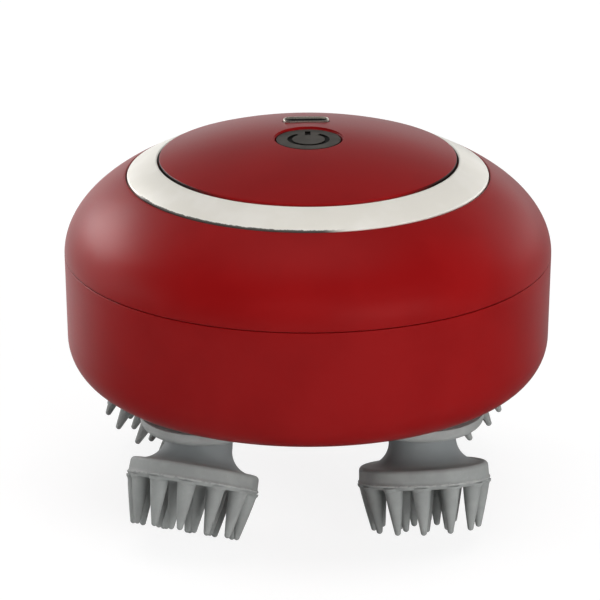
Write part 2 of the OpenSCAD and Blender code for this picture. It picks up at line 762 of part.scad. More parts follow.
module gear_case() {
    color(NYLON) difference() {
        union() {
            rotate_extrude($fn = 128) union() {
                translate([0, case_z]) square([case_or, case_floor_t]);
                translate([case_ir, case_z]) square([case_side_t, cover_z - case_z]);
            }
            at_each(CASE_SCREWS) rod(case_top - JOIN, cover_z - case_top + JOIN, post_r - 0.3);
        }
        at_each(CORNERS) rod(case_z - CUT, case_floor_t + 2 * CUT, shaft_r + bush_wall + press_gap);
        at_each(COVER_SCREWS) rod(case_z - CUT, case_floor_t + 2 * CUT, post_r + 0.3);
        at_each(CASE_SCREWS) rod(case_z - CUT, cover_z - case_z + 2 * CUT, screw_r + screw_gap);
        at_each([left_drive_at, right_drive_at]) rod(case_z + WEB, case_floor_t, axle_r + press_gap);
        at_each([reduction_at]) rod(case_z + WEB, case_floor_t, reduction_axle_r + press_gap);
    }
}

module gear_case_cover() {
    collar_in = motor_r + 0.1;
    color(NYLON) difference() {
        union() {
            rod(cover_z, case_cover_t, case_or);
            tube(motor_z - JOIN, 1.6 + JOIN, collar_in + 0.5, collar_in);
        }
        at_each(CORNERS) rod(cover_z - CUT, case_cover_t + 2 * CUT, shaft_r + bush_wall + press_gap);
        at_each(COVER_SCREWS) rod(cover_z - CUT, case_cover_t + 2 * CUT, post_r + 0.3);
        at_each(CASE_SCREWS) rod(cover_z - CUT, case_cover_t + 2 * CUT, screw_r + screw_gap);
        at_each(MOTOR_SCREWS) rod(cover_z - CUT, case_cover_t + 2 * CUT, small_screw_r + screw_gap);
        rod(cover_z - CUT, case_cover_t + 2 * CUT, motor_boss_d / 2 + run_gap);
        at_each([left_drive_at, right_drive_at])
            rod(cover_z - CUT, CUT + case_cover_t - WEB, axle_r + press_gap);
        at_each([reduction_at]) rod(cover_z - CUT, CUT + case_cover_t - WEB, reduction_axle_r + press_gap);
    }
}

module lower_bushes() {
    color(BRONZE) at_each(CORNERS) difference() {
        union() {
            rod(case_z, case_floor_t, shaft_r + bush_wall);
            rod(case_top, bush_flange_t, shaft_r + bush_wall + bush_flange_w);
        }
        rod(case_z - CUT, case_floor_t + 3 * CUT, shaft_r + run_gap);
    }
}

module upper_bushes() {
    color(BRONZE) at_each(CORNERS) difference() {
        union() {
            rod(cover_z, case_cover_t, shaft_r + bush_wall);
            rod(cover_z - bush_flange_t, bush_flange_t, shaft_r + bush_wall + bush_flange_w);
        }
        rod(cover_z - 2 * CUT, case_cover_t + 3 * CUT, shaft_r + run_gap);
    }
}

module shaft_seals() {
    color(DARK) at_each(CORNERS) tube(bottom_z + WEB, seal_h, shaft_r + seal_w, shaft_r + run_gap);
}

// --- Gear train ---------------------------------------------------------------------------------

module drive_gear(at, angle) {
    color(NYLON) translate([at[0], at[1], 0]) difference() {
        union() {
            wheel(gear_z, gear_face, gear_module, drive_teeth, angle);
            rod(case_top + end_play, cover_z - case_top - 2 * end_play, axle_r + HUB_WALL);
        }
        rod(case_top - CUT, cover_z - case_top + 2 * CUT, axle_r + run_gap);
    }
}

module left_drive_gear() drive_gear(left_drive_at, left_drive_angle);

module right_drive_gear() drive_gear(right_drive_at, right_drive_angle);

module drive_axles() {
    color(STEEL) at_each([left_drive_at, right_drive_at])
        rod(case_z + WEB, motor_z - case_z - 2 * WEB, axle_r);
}

module reduction_gear() {
    root = small_pr - DEDENDUM * gear_module;
    color(NYLON) translate([reduction_at[0], reduction_at[1], 0]) difference() {
        union() {
            wheel(gear_z, gear_face + layer_gap, gear_module, reduction_small_teeth, reduction_small_angle);
            wheel(large_z, motor_face, motor_module, reduction_large_teeth, reduction_large_angle);
            rod(case_top + end_play, cover_z - case_top - 2 * end_play, root - 0.1);
        }
        rod(case_top - CUT, cover_z - case_top + 2 * CUT, reduction_axle_r + run_gap);
    }
}

module reduction_axle() {
    color(STEEL) at_each([reduction_at]) rod(case_z + WEB, motor_z - case_z - 2 * WEB, reduction_axle_r);
}

module head_gear(i) {
    color(NYLON) at_each([CORNERS[i]]) difference() {
        union() {
            wheel(gear_z, gear_face, gear_module, head_teeth, head_gear_angle(i));
            rod(hub_z, hub_top - hub_z, shaft_r + HUB_WALL);
        }
        rod(hub_z - CUT, hub_top - hub_z + 2 * CUT, shaft_r + press_gap);
    }
}

module head_shaft(i) {
    color(STEEL) at_each([CORNERS[i]]) rod(collar_bottom + WEB, motor_z - collar_bottom - WEB, shaft_r);
}

// --- Motor --------------------------------------------------------------------------------------

module motor_can() {
    color(STEEL) difference() {
        union() {
            rod(motor_z, motor_h - END_CAP_T, motor_r);
            rod(cover_z, case_cover_t + JOIN, motor_boss_d / 2);
        }
        rod(motor_z + motor_wall, motor_h, motor_r - motor_wall);
        rod(cover_z - CUT, case_cover_t + motor_wall + 2 * CUT, motor_shaft_r + run_gap);
        at_each(MOTOR_SCREWS) rod(motor_z - CUT, motor_wall + 2 * CUT, small_screw_r + press_gap);
    }
}

module motor_magnet() {
    r = motor_r - motor_wall;
    color(DARK) tube(motor_z + 2.4, motor_h - 5, r, r - magnet_t);
}

module motor_rotor() {
    r = motor_r - motor_wall - magnet_t - air_gap;
    slots = 3;
    color(BRONZE) difference() {
        rod(motor_z + 2.9, motor_h - 6, r);
        for (k = [1:slots]) rotate(360 * k / slots)
            translate([r * 0.55, -ROTOR_SLOT / 2, motor_z]) cube([r, ROTOR_SLOT, motor_h]);
        rod(motor_z, motor_h, motor_shaft_r + press_gap);
    }
}

module motor_shaft() {
    foot = large_z - 2 * end_play;
    color(STEEL) rod(foot, motor_top - END_CAP_T / 2 - foot, motor_shaft_r);
}

module motor_pinion() {
    color(BRONZE) difference() {
        wheel(large_z - end_play, motor_face + 2 * end_play, motor_module, pinion_teeth, pinion_angle);
        rod(large_z - CUT, motor_face + 2 * CUT, motor_shaft_r + press_gap);
    }
}

module motor_end_cap() {
    z = motor_top - END_CAP_T;
    color(DARK) difference() {
        union() {
            rod(z, END_CAP_T, motor_r);
            rod(z - CUT, CUT + JOIN, motor_r - motor_wall - press_gap);
            for (s = [-1, 1]) translate([s * TAB_AT[0] - TAB[0] / 2, TAB_AT[1], motor_top - JOIN])
                cube([TAB[0], TAB[1], TAB[2] + JOIN]);
        }
        rod(z - 2 * CUT, 2 * CUT + END_CAP_T / 2, motor_shaft_r + run_gap);
    }
}

// --- Battery ------------------------------------------------------------------------------------

module battery_cell() {
    tip_l = 0.8;
    color(CELL) translate([-cell_l / 2, cell_y, cell_z]) rotate([0, 90, 0]) {
        cylinder(r = cell_r, h = cell_l - tip_l);
        cylinder(r = cell_r / 3, h = cell_l);
    }
}

module battery_cradle() {
    front = cell_y - 0.95 * cell_r;
    back = cell_y + 0.8 * cell_r;
    color(DARK) difference() {
        translate([-cradle_l / 2, front, motor_z]) cube([cradle_l, back - front, 0.8 * cell_r]);
        translate([-cell_l / 2, cell_y, cell_z]) rotate([0, 90, 0])
            cylinder(r = cell_r + press_gap, h = cell_l);
        rod(motor_z - CUT, motor_h, motor_r + 1);
        at_each(CASE_SCREWS) rod(motor_z - CUT, motor_h, screw_d * HEAD_W / 2 + screw_gap);
        at_each(CORNERS) rod(motor_z - CUT, CUT + 0.5, shaft_r + bush_wall);
    }
}

module battery_leads() {
    rise = board_z - cell_z;
    end_x = cell_l / 2;
    color(RED) for (s = [-1, 1]) lead([
        [s * (end_x + LEAD_R), cell_y, cell_z],
        [s * (end_x + LEAD_R + 0.3), cell_y + 1.5, cell_z + 0.25 * rise],
        [s * (end_x + LEAD_R + 0.2), cell_y + 5, cell_z + 0.54 * rise],
        [s * end_x, cell_y + 8.6, cell_z + 0.7 * rise],
        [s * (end_x - 3.5), cell_y + 11, cell_z + 0.76 * rise],
        [s * (end_x - 7), cell_y + 11.8, board_z - 2.1],
        [s * (end_x - 8.4), cell_y + 12, board_z - 1.4],
        [s * (end_x - 8.5), cell_y + 12, board_z - run_gap]
    ], LEAD_R);
}

module motor_leads() {
    color(CELL) for (s = [-1, 1]) lead([
        [s * TAB_AT[0], TAB_AT[1] + TAB[1] + LEAD_R, motor_top + TAB[2] / 2],
        [s * (TAB_AT[0] + 0.2), TAB_AT[1] + 1.7, motor_top + 2.6],
        [s * (TAB_AT[0] + 0.8), TAB_AT[1] + 2.9, motor_top + 4.6],
        [s * (TAB_AT[0] + 1), TAB_AT[1] + 3.3, board_z - 0.8],
        [s * (TAB_AT[0] + 1), TAB_AT[1] + 3.3, board_z - run_gap]
    ], LEAD_R);
}

// --- Screws -------------------------------------------------------------------------------------

module cover_screws() {
    color(STEEL) at_each(COVER_SCREWS) screw(cover_post_top + 0.1 + cover_floor_t, screw_d, cover_screw_l);
}

module gear_case_screws() {
    color(STEEL) at_each(CASE_SCREWS) screw(motor_z, screw_d, case_screw_l);
}

module motor_screws() {
    color(STEEL) at_each(MOTOR_SCREWS) translate([0, 0, 2 * cover_z]) mirror([0, 0, 1])
        screw(cover_z, small_screw_d, case_cover_t + motor_wall);
}

module board_screws() {
    color(STEEL) at_each(BOARD_SCREWS) translate([0, 0, 2 * board_z]) mirror([0, 0, 1])
        screw(board_z, small_screw_d, board_t + BOARD_SCREW_REACH);
}

// --- Massage heads ------------------------------------------------------------------------------

// Puts its children, drawn hanging down from the crossing point, on the leaning axis of corner i
module on_head_axis(i) {
    translate([CORNERS[i][0], CORNERS[i][1], crank_z]) rotate([0, 0, LEANS[i]])
        rotate([0, -TILTS[i], 0]) children();
}

// The turret's pin and its disc, grown by gap
module head_pin(gap) {
    disc_z = plate_depth - pin_disc_t / 2;
    rod(-disc_z - JOIN, disc_z + JOIN + collar_h, pin_d / 2 + gap);
    rod(-disc_z - pin_disc_t - gap, pin_disc_t + 2 * gap, pin_disc_d / 2 + gap);
}

module head_turret(i) {
    soft = 1.8;
    color(GREY) difference() {
        union() {
            at_each([CORNERS[i]]) rotate_extrude() polygon(concat([[0, collar_bottom]],
                arc([collar_r - soft, collar_bottom + soft], soft, -90, 0),
                [[collar_r, collar_top], [0, collar_top]]));
            difference() {
                on_head_axis(i) head_pin(0);
                at_each([CORNERS[i]]) rod(collar_top - WEB, plate_depth, collar_r);
            }
        }
        at_each([CORNERS[i]]) rod(collar_bottom + WEB - press_gap, collar_h, shaft_r + press_gap);
    }
}

// One prong of length prong_len: its foot lies on the plate and its tip is round
module prong() {
    foot = 0.6;
    base_r = prong_base_d / 2;
    rotate_extrude($fn = 32) polygon(concat([[0, foot], [base_r, foot], [base_r, 0]],
        [for (a = [0:18:90]) [prong_tip_r * cos(a), prong_tip_r * (1 - sin(a)) - prong_len]]));
}

// A circle of prongs whose tips lie closer in than their feet
module prong_circle(count, base_circle, tip_circle, turn) {
    lean = atan2((base_circle - tip_circle) / 2, prong_len - prong_tip_r);
    for (k = [0:count - 1]) rotate(turn + 360 * k / count)
        translate([base_circle / 2, 0, -plate_depth - plate_t]) rotate([0, lean, 0]) prong();
}

module massage_head(i) {
    neck_r = neck_d / 2;
    flare_r = plate_depth / 2;
    rim = plate_t / 4;
    bevel = plate_t / 12;
    top = 1.5 * collar_h;
    under = -plate_depth - plate_t;
    color(GREY) difference() {
        on_head_axis(i) difference() {
            union() {
                rotate_extrude() polygon(concat([[0, top], [neck_r, top]],
                    arc([neck_r + bevel + flare_r, flare_r - plate_depth], flare_r, 180, 270),
                    arc([plate_r - bevel - rim, -plate_depth - rim], rim, 90, 0),
                    [[plate_r, under + 2 * bevel], [plate_r, under], [0, under]]));
                prong_circle(outer_prongs, outer_base_circle, outer_tip_circle, prong_turn);
                prong_circle(inner_prongs, inner_base_circle, inner_tip_circle,
                    prong_turn + 180 / inner_prongs);
            }
            head_pin(run_gap);
        }
        at_each([CORNERS[i]]) rod(collar_bottom, plate_depth, collar_r);
    }
}

// --- Parts --------------------------------------------------------------------------------------

lower_housing();
upper_cover();
trim_ring();
top_cap();
housing_gasket();
gear_case();
gear_case_cover();
lower_bushes();
upper_bushes();
shaft_seals();
left_drive_gear();
right_drive_gear();
drive_axles();
reduction_gear();
reduction_axle();
motor_can();
motor_magnet();
motor_rotor();
motor_shaft();
motor_pinion();
motor_end_cap();
battery_cell();
battery_cradle();
battery_leads();
motor_leads();
circuit_board();
board_chips();
switch_body();
switch_plunger();
power_button();
usb_shell();
usb_tongue();
status_led();
indicator_lens();
cover_screws();
gear_case_screws();
motor_screws();
board_screws();
for (i = [0:3]) {
    massage_head(i);
    head_turret(i);
    head_shaft(i);
    head_gear(i);
}
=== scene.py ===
"""Electric scalp massager: the dressed model, its finishes, the studio and the camera.

Lengths are written in millimetres and turned into metres where a piece is made.
+Z is up and -Y is the front.
"""
import math

import bpy
from mathutils import Matrix, Vector


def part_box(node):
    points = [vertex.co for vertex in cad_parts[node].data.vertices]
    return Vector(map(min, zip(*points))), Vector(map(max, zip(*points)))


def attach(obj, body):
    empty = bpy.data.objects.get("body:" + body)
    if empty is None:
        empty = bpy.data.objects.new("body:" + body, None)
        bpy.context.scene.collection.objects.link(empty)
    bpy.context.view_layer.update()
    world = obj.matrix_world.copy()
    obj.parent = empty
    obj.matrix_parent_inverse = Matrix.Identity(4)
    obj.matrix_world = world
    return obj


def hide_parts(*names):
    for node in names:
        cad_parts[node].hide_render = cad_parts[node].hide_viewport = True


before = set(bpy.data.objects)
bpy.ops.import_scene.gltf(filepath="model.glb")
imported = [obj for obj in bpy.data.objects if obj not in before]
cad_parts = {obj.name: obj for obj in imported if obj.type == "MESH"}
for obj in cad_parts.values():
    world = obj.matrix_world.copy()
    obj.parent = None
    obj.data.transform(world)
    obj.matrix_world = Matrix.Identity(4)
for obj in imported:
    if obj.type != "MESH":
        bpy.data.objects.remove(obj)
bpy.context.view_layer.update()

MM = 0.001
TURN = 2 * math.pi


# --- Sizes read from the frame ------------------------------------------------------------------

def low(node):
    """The lowest corner of a node, in millimetres."""
    return [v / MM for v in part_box(node)[0]]


def high(node):
    """The highest corner of a node, in millimetres."""
    return [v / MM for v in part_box(node)[1]]


def middle(node):
    """The middle of a node's box, in millimetres."""
    return [(a + b) / 2 for a, b in zip(low(node), high(node))]


# Housing
BODY_R = high("upper_cover")[0]
WALL = 2.2
LIP_T, LIP_DEPTH, LIP_GAP = 1.8, 3.0, 0.15
SEAM_GAP = 0.14
SEAM_Z = low("upper_cover")[2] + LIP_DEPTH
BOTTOM_Z = low("lower_housing")[2]
BOTTOM_R = BODY_R - 0.3
BOTTOM_EDGE = 9.0

# Trim ring and cap
RING_T = 1.6
TRIM_GAP = 0.25
LEDGE_T = 2.0
CAP_SEAT = 3.6
CAP_CROWN = 5.1
CAP_T = 2.0
RING_OUT = high("trim_ring")[0]
RING_IN = high("top_cap")[0]
RING_Z = low("trim_ring")[2] + RING_T
CAP_TOP = high("top_cap")[2]
CAP_EDGE_Z = CAP_TOP - CAP_CROWN
SEAT_Z = CAP_EDGE_Z - RING_T
DOME_H = (RING_Z - SEAM_Z) / math.sqrt(1 - (RING_OUT / BODY_R) ** 2)
BALL_R = (RING_IN ** 2 + CAP_CROWN ** 2) / (2 * CAP_CROWN)
BALL_Z = CAP_TOP - BALL_R

# Button, port and indicator
BUTTON_AT = middle("power_button")[1]
BUTTON_R = 6.3
BUTTON_GAP = 0.25
BUTTON_FACE = high("power_button")[2]
PORT_AT = middle("usb_shell")[1]
PORT_W = high("usb_shell")[0] * 2
PORT_D = high("usb_shell")[1] - low("usb_shell")[1]
PORT_TOP = high("usb_shell")[2]
PORT_FOOT = low("usb_shell")[2]
LENS_AT = middle("indicator_lens")[1]
LENS_R = 0.8

# Heads
CORNER_NAMES = ["front_left", "front_right", "rear_left", "rear_right"]
LEANS = [246, 277.7, 176, 358]
TILTS = [26, 16, 28, 28]
CROSSING = BOTTOM_Z - 1.5
COLLAR_R, COLLAR_TOP, COLLAR_BOTTOM = 12.1, 1.4, -1.3
NECK_R = 6.3
PLATE_Z, PLATE_R, PLATE_T = -9.2, 12.8, 3.8
PIN_R, PIN_DISC_R, PIN_DISC_T = 4.4, 7.5, 1.8
PRONG_LEN, PRONG_BASE_R, PRONG_TIP_R = 9.0, 1.85, 0.6
PRONG_TURN = math.radians(16)
PRONG_RINGS = [(12, 10.85, 10.1, PRONG_TURN), (7, 5.4, 5.1, PRONG_TURN + TURN / 14)]


def ring_top(r):
    """Height of the trim ring's top at radius r."""
    return RING_Z + (RING_OUT - r) * (CAP_EDGE_Z - RING_Z) / (RING_OUT - RING_IN)


def cap_z(r, sunk=0.0):
    """Height of the cap's top at radius r, or of its underside where sunk is its thickness."""
    return BALL_Z + math.sqrt((BALL_R - sunk) ** 2 - r * r)


def dome_point(angle, sunk=0.0):
    """A point of the dome's ellipse, at an angle above the seam."""
    return ((BODY_R - sunk) * math.cos(angle), SEAM_Z + (DOME_H - sunk) * math.sin(angle))


# --- Camera -------------------------------------------------------------------------------------

def set_camera():
    lens = bpy.data.cameras.new("studio_camera")
    lens.lens = 233.3
    lens.sensor_width = 36
    lens.shift_x = -8 / 600
    lens.clip_start = 0.05
    camera = bpy.data.objects.new("studio_camera", lens)
    camera.location = (-0.0288, -0.7175, 0.30023)
    camera.rotation_euler = (math.radians(70.13), 0, math.radians(-2.3))
    bpy.context.scene.collection.objects.link(camera)
    bpy.context.scene.camera = camera
    bpy.context.scene.view_settings.view_transform = "Standard"


# --- Modelling by hand --------------------------------------------------------------------------

def clear_hands():
    """Nothing selected, in object mode."""
    if bpy.context.object and bpy.context.object.mode != "OBJECT":
        bpy.ops.object.mode_set(mode="OBJECT")
    bpy.ops.object.select_all(action="DESELECT")


def take(piece):
    """The piece alone is selected and active."""
    clear_hands()
    piece.select_set(True)
    bpy.context.view_layer.objects.active = piece
    return piece


def edit(piece):
    take(piece)
    bpy.ops.object.mode_set(mode="EDIT")
    bpy.ops.mesh.select_all(action="DESELECT")


def pick(piece, what, chosen):
    """Selects the vertices, edges or faces of a piece in edit mode that chosen(item) says."""
    bpy.ops.mesh.select_mode(type=what)
    bpy.ops.mesh.select_all(action="DESELECT")
    bpy.ops.object.mode_set(mode="OBJECT")
    items = {"VERT": piece.data.vertices, "EDGE": piece.data.edges, "FACE": piece.data.polygons}[what]
    for item in items:
        item.select = bool(chosen(item))
    bpy.ops.object.mode_set(mode="EDIT")


def ends(piece, edge):
    """The heights of an edge's ends, in millimetres."""
    return [piece.data.vertices[v].co.z / MM for v in edge.vertices]


def arc(centre, radius, start, end, steps=10):
    """Points of an arc, with its angles in degrees."""
    turns = [math.radians(start + (end - start) * i / steps) for i in range(steps + 1)]
    return [(centre[0] + radius * math.cos(t), centre[1] + radius * math.sin(t)) for t in turns]


def softened(line, closed=False, steps=4):
    """An outline whose corners (r, z, radius) are rounded by their radius."""
    out = []
    n = len(line)
    for i, spot in enumerate(line):
        radius = spot[2] if len(spot) > 2 else 0
        here = Vector(spot[:2])
        if not radius or (not closed and i in (0, n - 1)):
            out.append(tuple(here))
            continue
        before = (Vector(line[i - 1][:2]) - here).normalized()
        after = (Vector(line[(i + 1) % n][:2]) - here).normalized()
        half = before.angle(after) / 2
        reach = radius / math.tan(half)
        centre = here + (before + after).normalized() * radius / math.sin(half)
        a, b = here + before * reach - centre, here + after * reach - centre
        sweep = a.angle_signed(b)
        for k in range(steps + 1):
            t = -sweep * k / steps
            out.append((centre.x + a.x * math.cos(t) - a.y * math.sin(t),
                        centre.y + a.x * math.sin(t) + a.y * math.cos(t)))
    return out


def draw_outline(line, loop):
    """A line of points (r, z), drawn from one vertex by extruding it from place to place."""
    clear_hands()
    bpy.ops.mesh.primitive_plane_add(size=MM)
    piece = bpy.context.object
    bpy.ops.object.mode_set(mode="EDIT")
    bpy.ops.mesh.select_mode(type="VERT")
    bpy.ops.mesh.select_all(action="SELECT")
    bpy.ops.mesh.merge(type="CENTER")
    bpy.ops.transform.translate(value=(line[0][0] * MM, 0, line[0][1] * MM))
    way = line + [line[0]] if loop else line
    for a, b in zip(way, way[1:]):
        step = ((b[0] - a[0]) * MM, 0, (b[1] - a[1]) * MM)
        bpy.ops.mesh.extrude_region_move(TRANSFORM_OT_translate={"value": step})
    return piece


def turned(line, loop=False, steps=144):
    """A piece turned about Z from its outline (r, z). A loop doesn't reach the axis."""
    piece = draw_outline(line, loop)
    bpy.ops.mesh.select_all(action="SELECT")
    bpy.ops.mesh.remove_doubles(threshold=0.0005 * MM)
    bpy.ops.mesh.spin(steps=steps, angle=TURN, center=(0, 0, 0), axis=(0, 0, 1), use_auto_merge=True)
    close_skin(piece)
    return piece


def close_skin(piece):
    """Merges doubles and turns every face outwards."""
    edit(piece)
    bpy.ops.mesh.select_all(action="SELECT")
    bpy.ops.mesh.remove_doubles(threshold=0.002 * MM)
    bpy.ops.mesh.normals_make_consistent(inside=False)
    bpy.ops.object.mode_set(mode="OBJECT")


def peg(radius, bottom, top, at=(0, 0), sides=64):
    """A round tool for boring or for adding a post."""
    clear_hands()
    bpy.ops.mesh.primitive_cylinder_add(
        vertices=sides, radius=radius * MM, depth=(top - bottom) * MM,
        location=(at[0] * MM, at[1] * MM, (top + bottom) / 2 * MM))
    piece = bpy.context.object
    bpy.ops.object.transform_apply(location=True, rotation=True, scale=True)
    return piece


def combine(piece, tool, how):
    """Bores the tool out of the piece, or joins it on, and throws the tool away."""
    take(piece)
    bpy.ops.object.modifier_add(type="BOOLEAN")
    step = piece.modifiers[-1]
    step.operation = how
    step.solver = "EXACT"
    step.object = tool
    bpy.ops.object.modifier_apply(modifier=step.name)
    bpy.data.objects.remove(tool, do_unlink=True)
    return piece


def put(piece, matrix):
    """Places a piece and bakes its place into its mesh."""
    take(piece)
    piece.matrix_world = matrix
    bpy.context.view_layer.update()
    bpy.ops.object.transform_apply(location=True, rotation=True, scale=True)
    return piece


def twin(piece):
    """A copy with its own mesh."""
    other = piece.copy()
    other.data = piece.data.copy()
    bpy.context.scene.collection.objects.link(other)
    return other


def joined(parts):
    clear_hands()
    for part in parts:
        part.select_set(True)
    bpy.context.view_layer.objects.active = parts[0]
    bpy.ops.object.join()
    return bpy.context.object


def hand_over(piece, name, body, finish, nodes, crease=32):
    """Names a piece, smooths it, dresses it and lets it stand for its nodes."""
    piece.name = name
    piece.data.name = name
    take(piece)
    bpy.ops.object.shade_smooth_by_angle(angle=math.radians(crease))
    piece.data.materials.clear()
    piece.data.materials.append(finish)
    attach(piece, body)
    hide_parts(*nodes)
    clear_hands()
    return piece


# --- Finishes -----------------------------------------------------------------------------------

class Value:
    """A socket of a finish that takes part in sums and products."""

    def __init__(self, finish, socket):
        self.finish = finish
        self.socket = socket

    def _with(self, operation, a, b):
        return self.finish.add("ShaderNodeMath", {"operation": operation}, {0: a, 1: b})

    def __add__(self, other):
        return self._with("ADD", self, other)

    def __sub__(self, other):
        return self._with("SUBTRACT", self, other)

    def __rsub__(self, other):
        return self._with("SUBTRACT", other, self)

    def __mul__(self, other):
        return self._with("MULTIPLY", self, other)

    __radd__ = __add__
    __rmul__ = __mul__


class Finish:
    """One material, made node by node."""

    def __init__(self, name, owner=None):
        self.material = owner or bpy.data.materials.new(name)
        self.material.use_nodes = True
        self.tree = self.material.node_tree
        self.tree.nodes.clear()

    def add(self, kind, settings=None, sockets=None, out=0):
        """A node of a kind, with its settings first and then its sockets' values or links."""
        node = self.tree.nodes.new(kind)
        for key, value in (settings or {}).items():
            if key == "stops":
                ramp = node.color_ramp.elements
                while len(ramp) < len(value):
                    ramp.new(0.5)
                for stop, (place, colour) in zip(ramp, value):
                    stop.position = place
                    stop.color = (*colour, 1)
            else:
                setattr(node, key, value)
        for key, value in (sockets or {}).items():
            if isinstance(value, Value):
                self.tree.links.new(value.socket, node.inputs[key])
            else:
                node.inputs[key].default_value = value
        return Value(self, node.outputs[out])

    def place(self):
        return self.add("ShaderNodeTexCoord", out="Object")

    def own_map(self):
        """The piece's own map: radius and height as the piece was turned, in units of 10 mm."""
        return self.add("ShaderNodeUVMap", {"uv_map": "turning"})

    def grain(self, size, detail=2.0, rough=0.5, stretch=None):
        """Noise with grains of a size in millimetres, about 0.5 on average."""
        where = self.place()
        if stretch:
            where = self.add("ShaderNodeMapping", None, {"Vector": where, "Scale": stretch})
        return self.add("ShaderNodeTexNoise", None, {
            "Vector": where, "Scale": 1 / (size * MM), "Detail": detail, "Roughness": rough})

    def cells(self, size, feature="F1"):
        """Distance to the nearest of many scattered points, a size apart."""
        return self.add("ShaderNodeTexVoronoi", {"feature": feature}, {
            "Vector": self.place(), "Scale": 1 / (size * MM)})

    def step(self, value, start, end, a=0.0, b=1.0):
        """Turns a value smoothly from a, at start, to b, at end."""
        return self.add("ShaderNodeMapRange", {"interpolation_type": "SMOOTHSTEP"}, {
            "Value": value, "From Min": start, "From Max": end, "To Min": a, "To Max": b})

    def shade(self, share, a, b, mode="MIX"):
        """Colours a and b, mixed by share."""
        sockets = {0: share}
        for index, colour in ((6, a), (7, b)):
            sockets[index] = colour if isinstance(colour, Value) else (*colour, 1)
        return self.add("ShaderNodeMix", {"data_type": "RGBA", "blend_type": mode}, sockets, out=2)

    def axis(self, vector, which):
        return self.add("ShaderNodeSeparateXYZ", None, {0: vector}, out=which)

    def bump(self, height, depth, strength=1.0):
        """A relief of a depth in millimetres."""
        return self.add("ShaderNodeBump", None, {
            "Height": height, "Distance": depth * MM, "Strength": strength})

    def done(self, **sockets):
        """Ends the finish in one Principled shader and returns the material."""
        named = {key.replace("_", " "): value for key, value in sockets.items()}
        for key, value in named.items():
            if isinstance(value, tuple) and len(value) == 3:
                named[key] = (*value, 1)
        shader = self.add("ShaderNodeBsdfPrincipled", None, named)
        return self.end(shader)

    def end(self, shader, kind="ShaderNodeOutputMaterial"):
        """Puts the last shader on the surface."""
        node = self.tree.nodes.new(kind)
        self.tree.links.new(shader.socket, node.inputs["Surface"])
        return self.material


def soft_touch_red(name, light, deep, rubbed, rim=None):
    """Red soft-touch paint: velvety grain, faint clouding and sparse lighter specks. Where a rim is given,
    painted shade darkens a thin band just inside it, except at the front.
    """
    f = Finish(name)
    clouds = f.grain(14, detail=3)
    fine = f.grain(0.22, detail=2)
    speck = f.step(f.cells(0.5), 0.1, 0.02)
    colour = f.shade(f.step(clouds, 0.35, 0.65), deep, light)
    colour = f.shade(speck * 0.16, colour, rubbed)
    if rim:
        spot = f.place()
        x, y = f.axis(spot, 0) * (1 / MM), f.axis(spot, 1) * (1 / MM)
        radius = f.add("ShaderNodeMath", {"operation": "SQRT"}, {0: x * x + y * y})
        # painted shade: a near-black band just inside the rim stands for the shadow in the gap to the trim
        # ring, left off at the front
        gap_shade = f.step(radius, rim - 0.14, rim - 0.04) * f.step(y, -26, -16)
        colour = f.shade(gap_shade, colour, (0.010, 0.002, 0.002))
    relief = fine + speck * 0.4
    return f.done(
        Base_Color=colour,
        Roughness=0.31 + 0.1 * fine + 0.06 * clouds,
        Specular_IOR_Level=0.2, Sheen_Weight=0.02, Sheen_Roughness=0.35, Sheen_Tint=(1.0, 0.75, 0.75),
        Normal=f.bump(relief, 0.006, 0.6))


def satin_trim():
    """Warm white satin plating, finely brushed round. Painted shade darkens its inner edge in the gap to
    the cap, and a ragged dark line runs along its outer edge at the front and left.
    """
    f = Finish("satin_trim")
    spot = f.place()
    x, y = f.axis(spot, 0), f.axis(spot, 1)
    radius = f.add("ShaderNodeMath", {"operation": "SQRT"}, {0: x * x + y * y}) * (1 / MM)
    around = f.add("ShaderNodeCombineXYZ", None, {0: radius * 9, 1: f.axis(spot, 2) * 9000})
    brushed = f.add("ShaderNodeTexNoise", None, {"Vector": around, "Scale": 1.0, "Detail": 2.0})
    dull = f.grain(6, detail=3)
    colour = f.shade(f.step(dull, 0.4, 0.7), (0.90, 0.868, 0.79), (0.94, 0.91, 0.84))
    edge = RING_IN + TRIM_GAP
    # painted shade: the inner edge goes near-black and dull, as the shadow in the gap to the cap, except
    # at the front
    inner = f.step(radius, edge + 0.16, edge + 0.05) * f.step(y, -0.026, -0.016)
    ragged = (f.grain(0.9, detail=4, rough=0.7) - 0.5) * 0.5
    front_left = f.step(x + 0.6 * y, -0.014, -0.020) * f.step(y, -0.010, -0.016)
    outer = f.step(radius + ragged, RING_OUT - 0.26, RING_OUT - 0.12) * front_left
    # the mask joins the painted gap shade of the inner edge with the ragged dark line along the outer edge
    gap_shade_and_dark_line = f.add("ShaderNodeMath", {"operation": "MAXIMUM"}, {0: inner, 1: outer})
    return f.done(
        Base_Color=f.shade(gap_shade_and_dark_line * 0.93, colour, (0.012, 0.008, 0.007)),
        Metallic=0.28 - 0.28 * gap_shade_and_dark_line,
        Roughness=0.27 + 0.1 * dull + 0.06 * brushed + 0.3 * gap_shade_and_dark_line,
        Normal=f.bump(brushed, 0.002, 0.35))


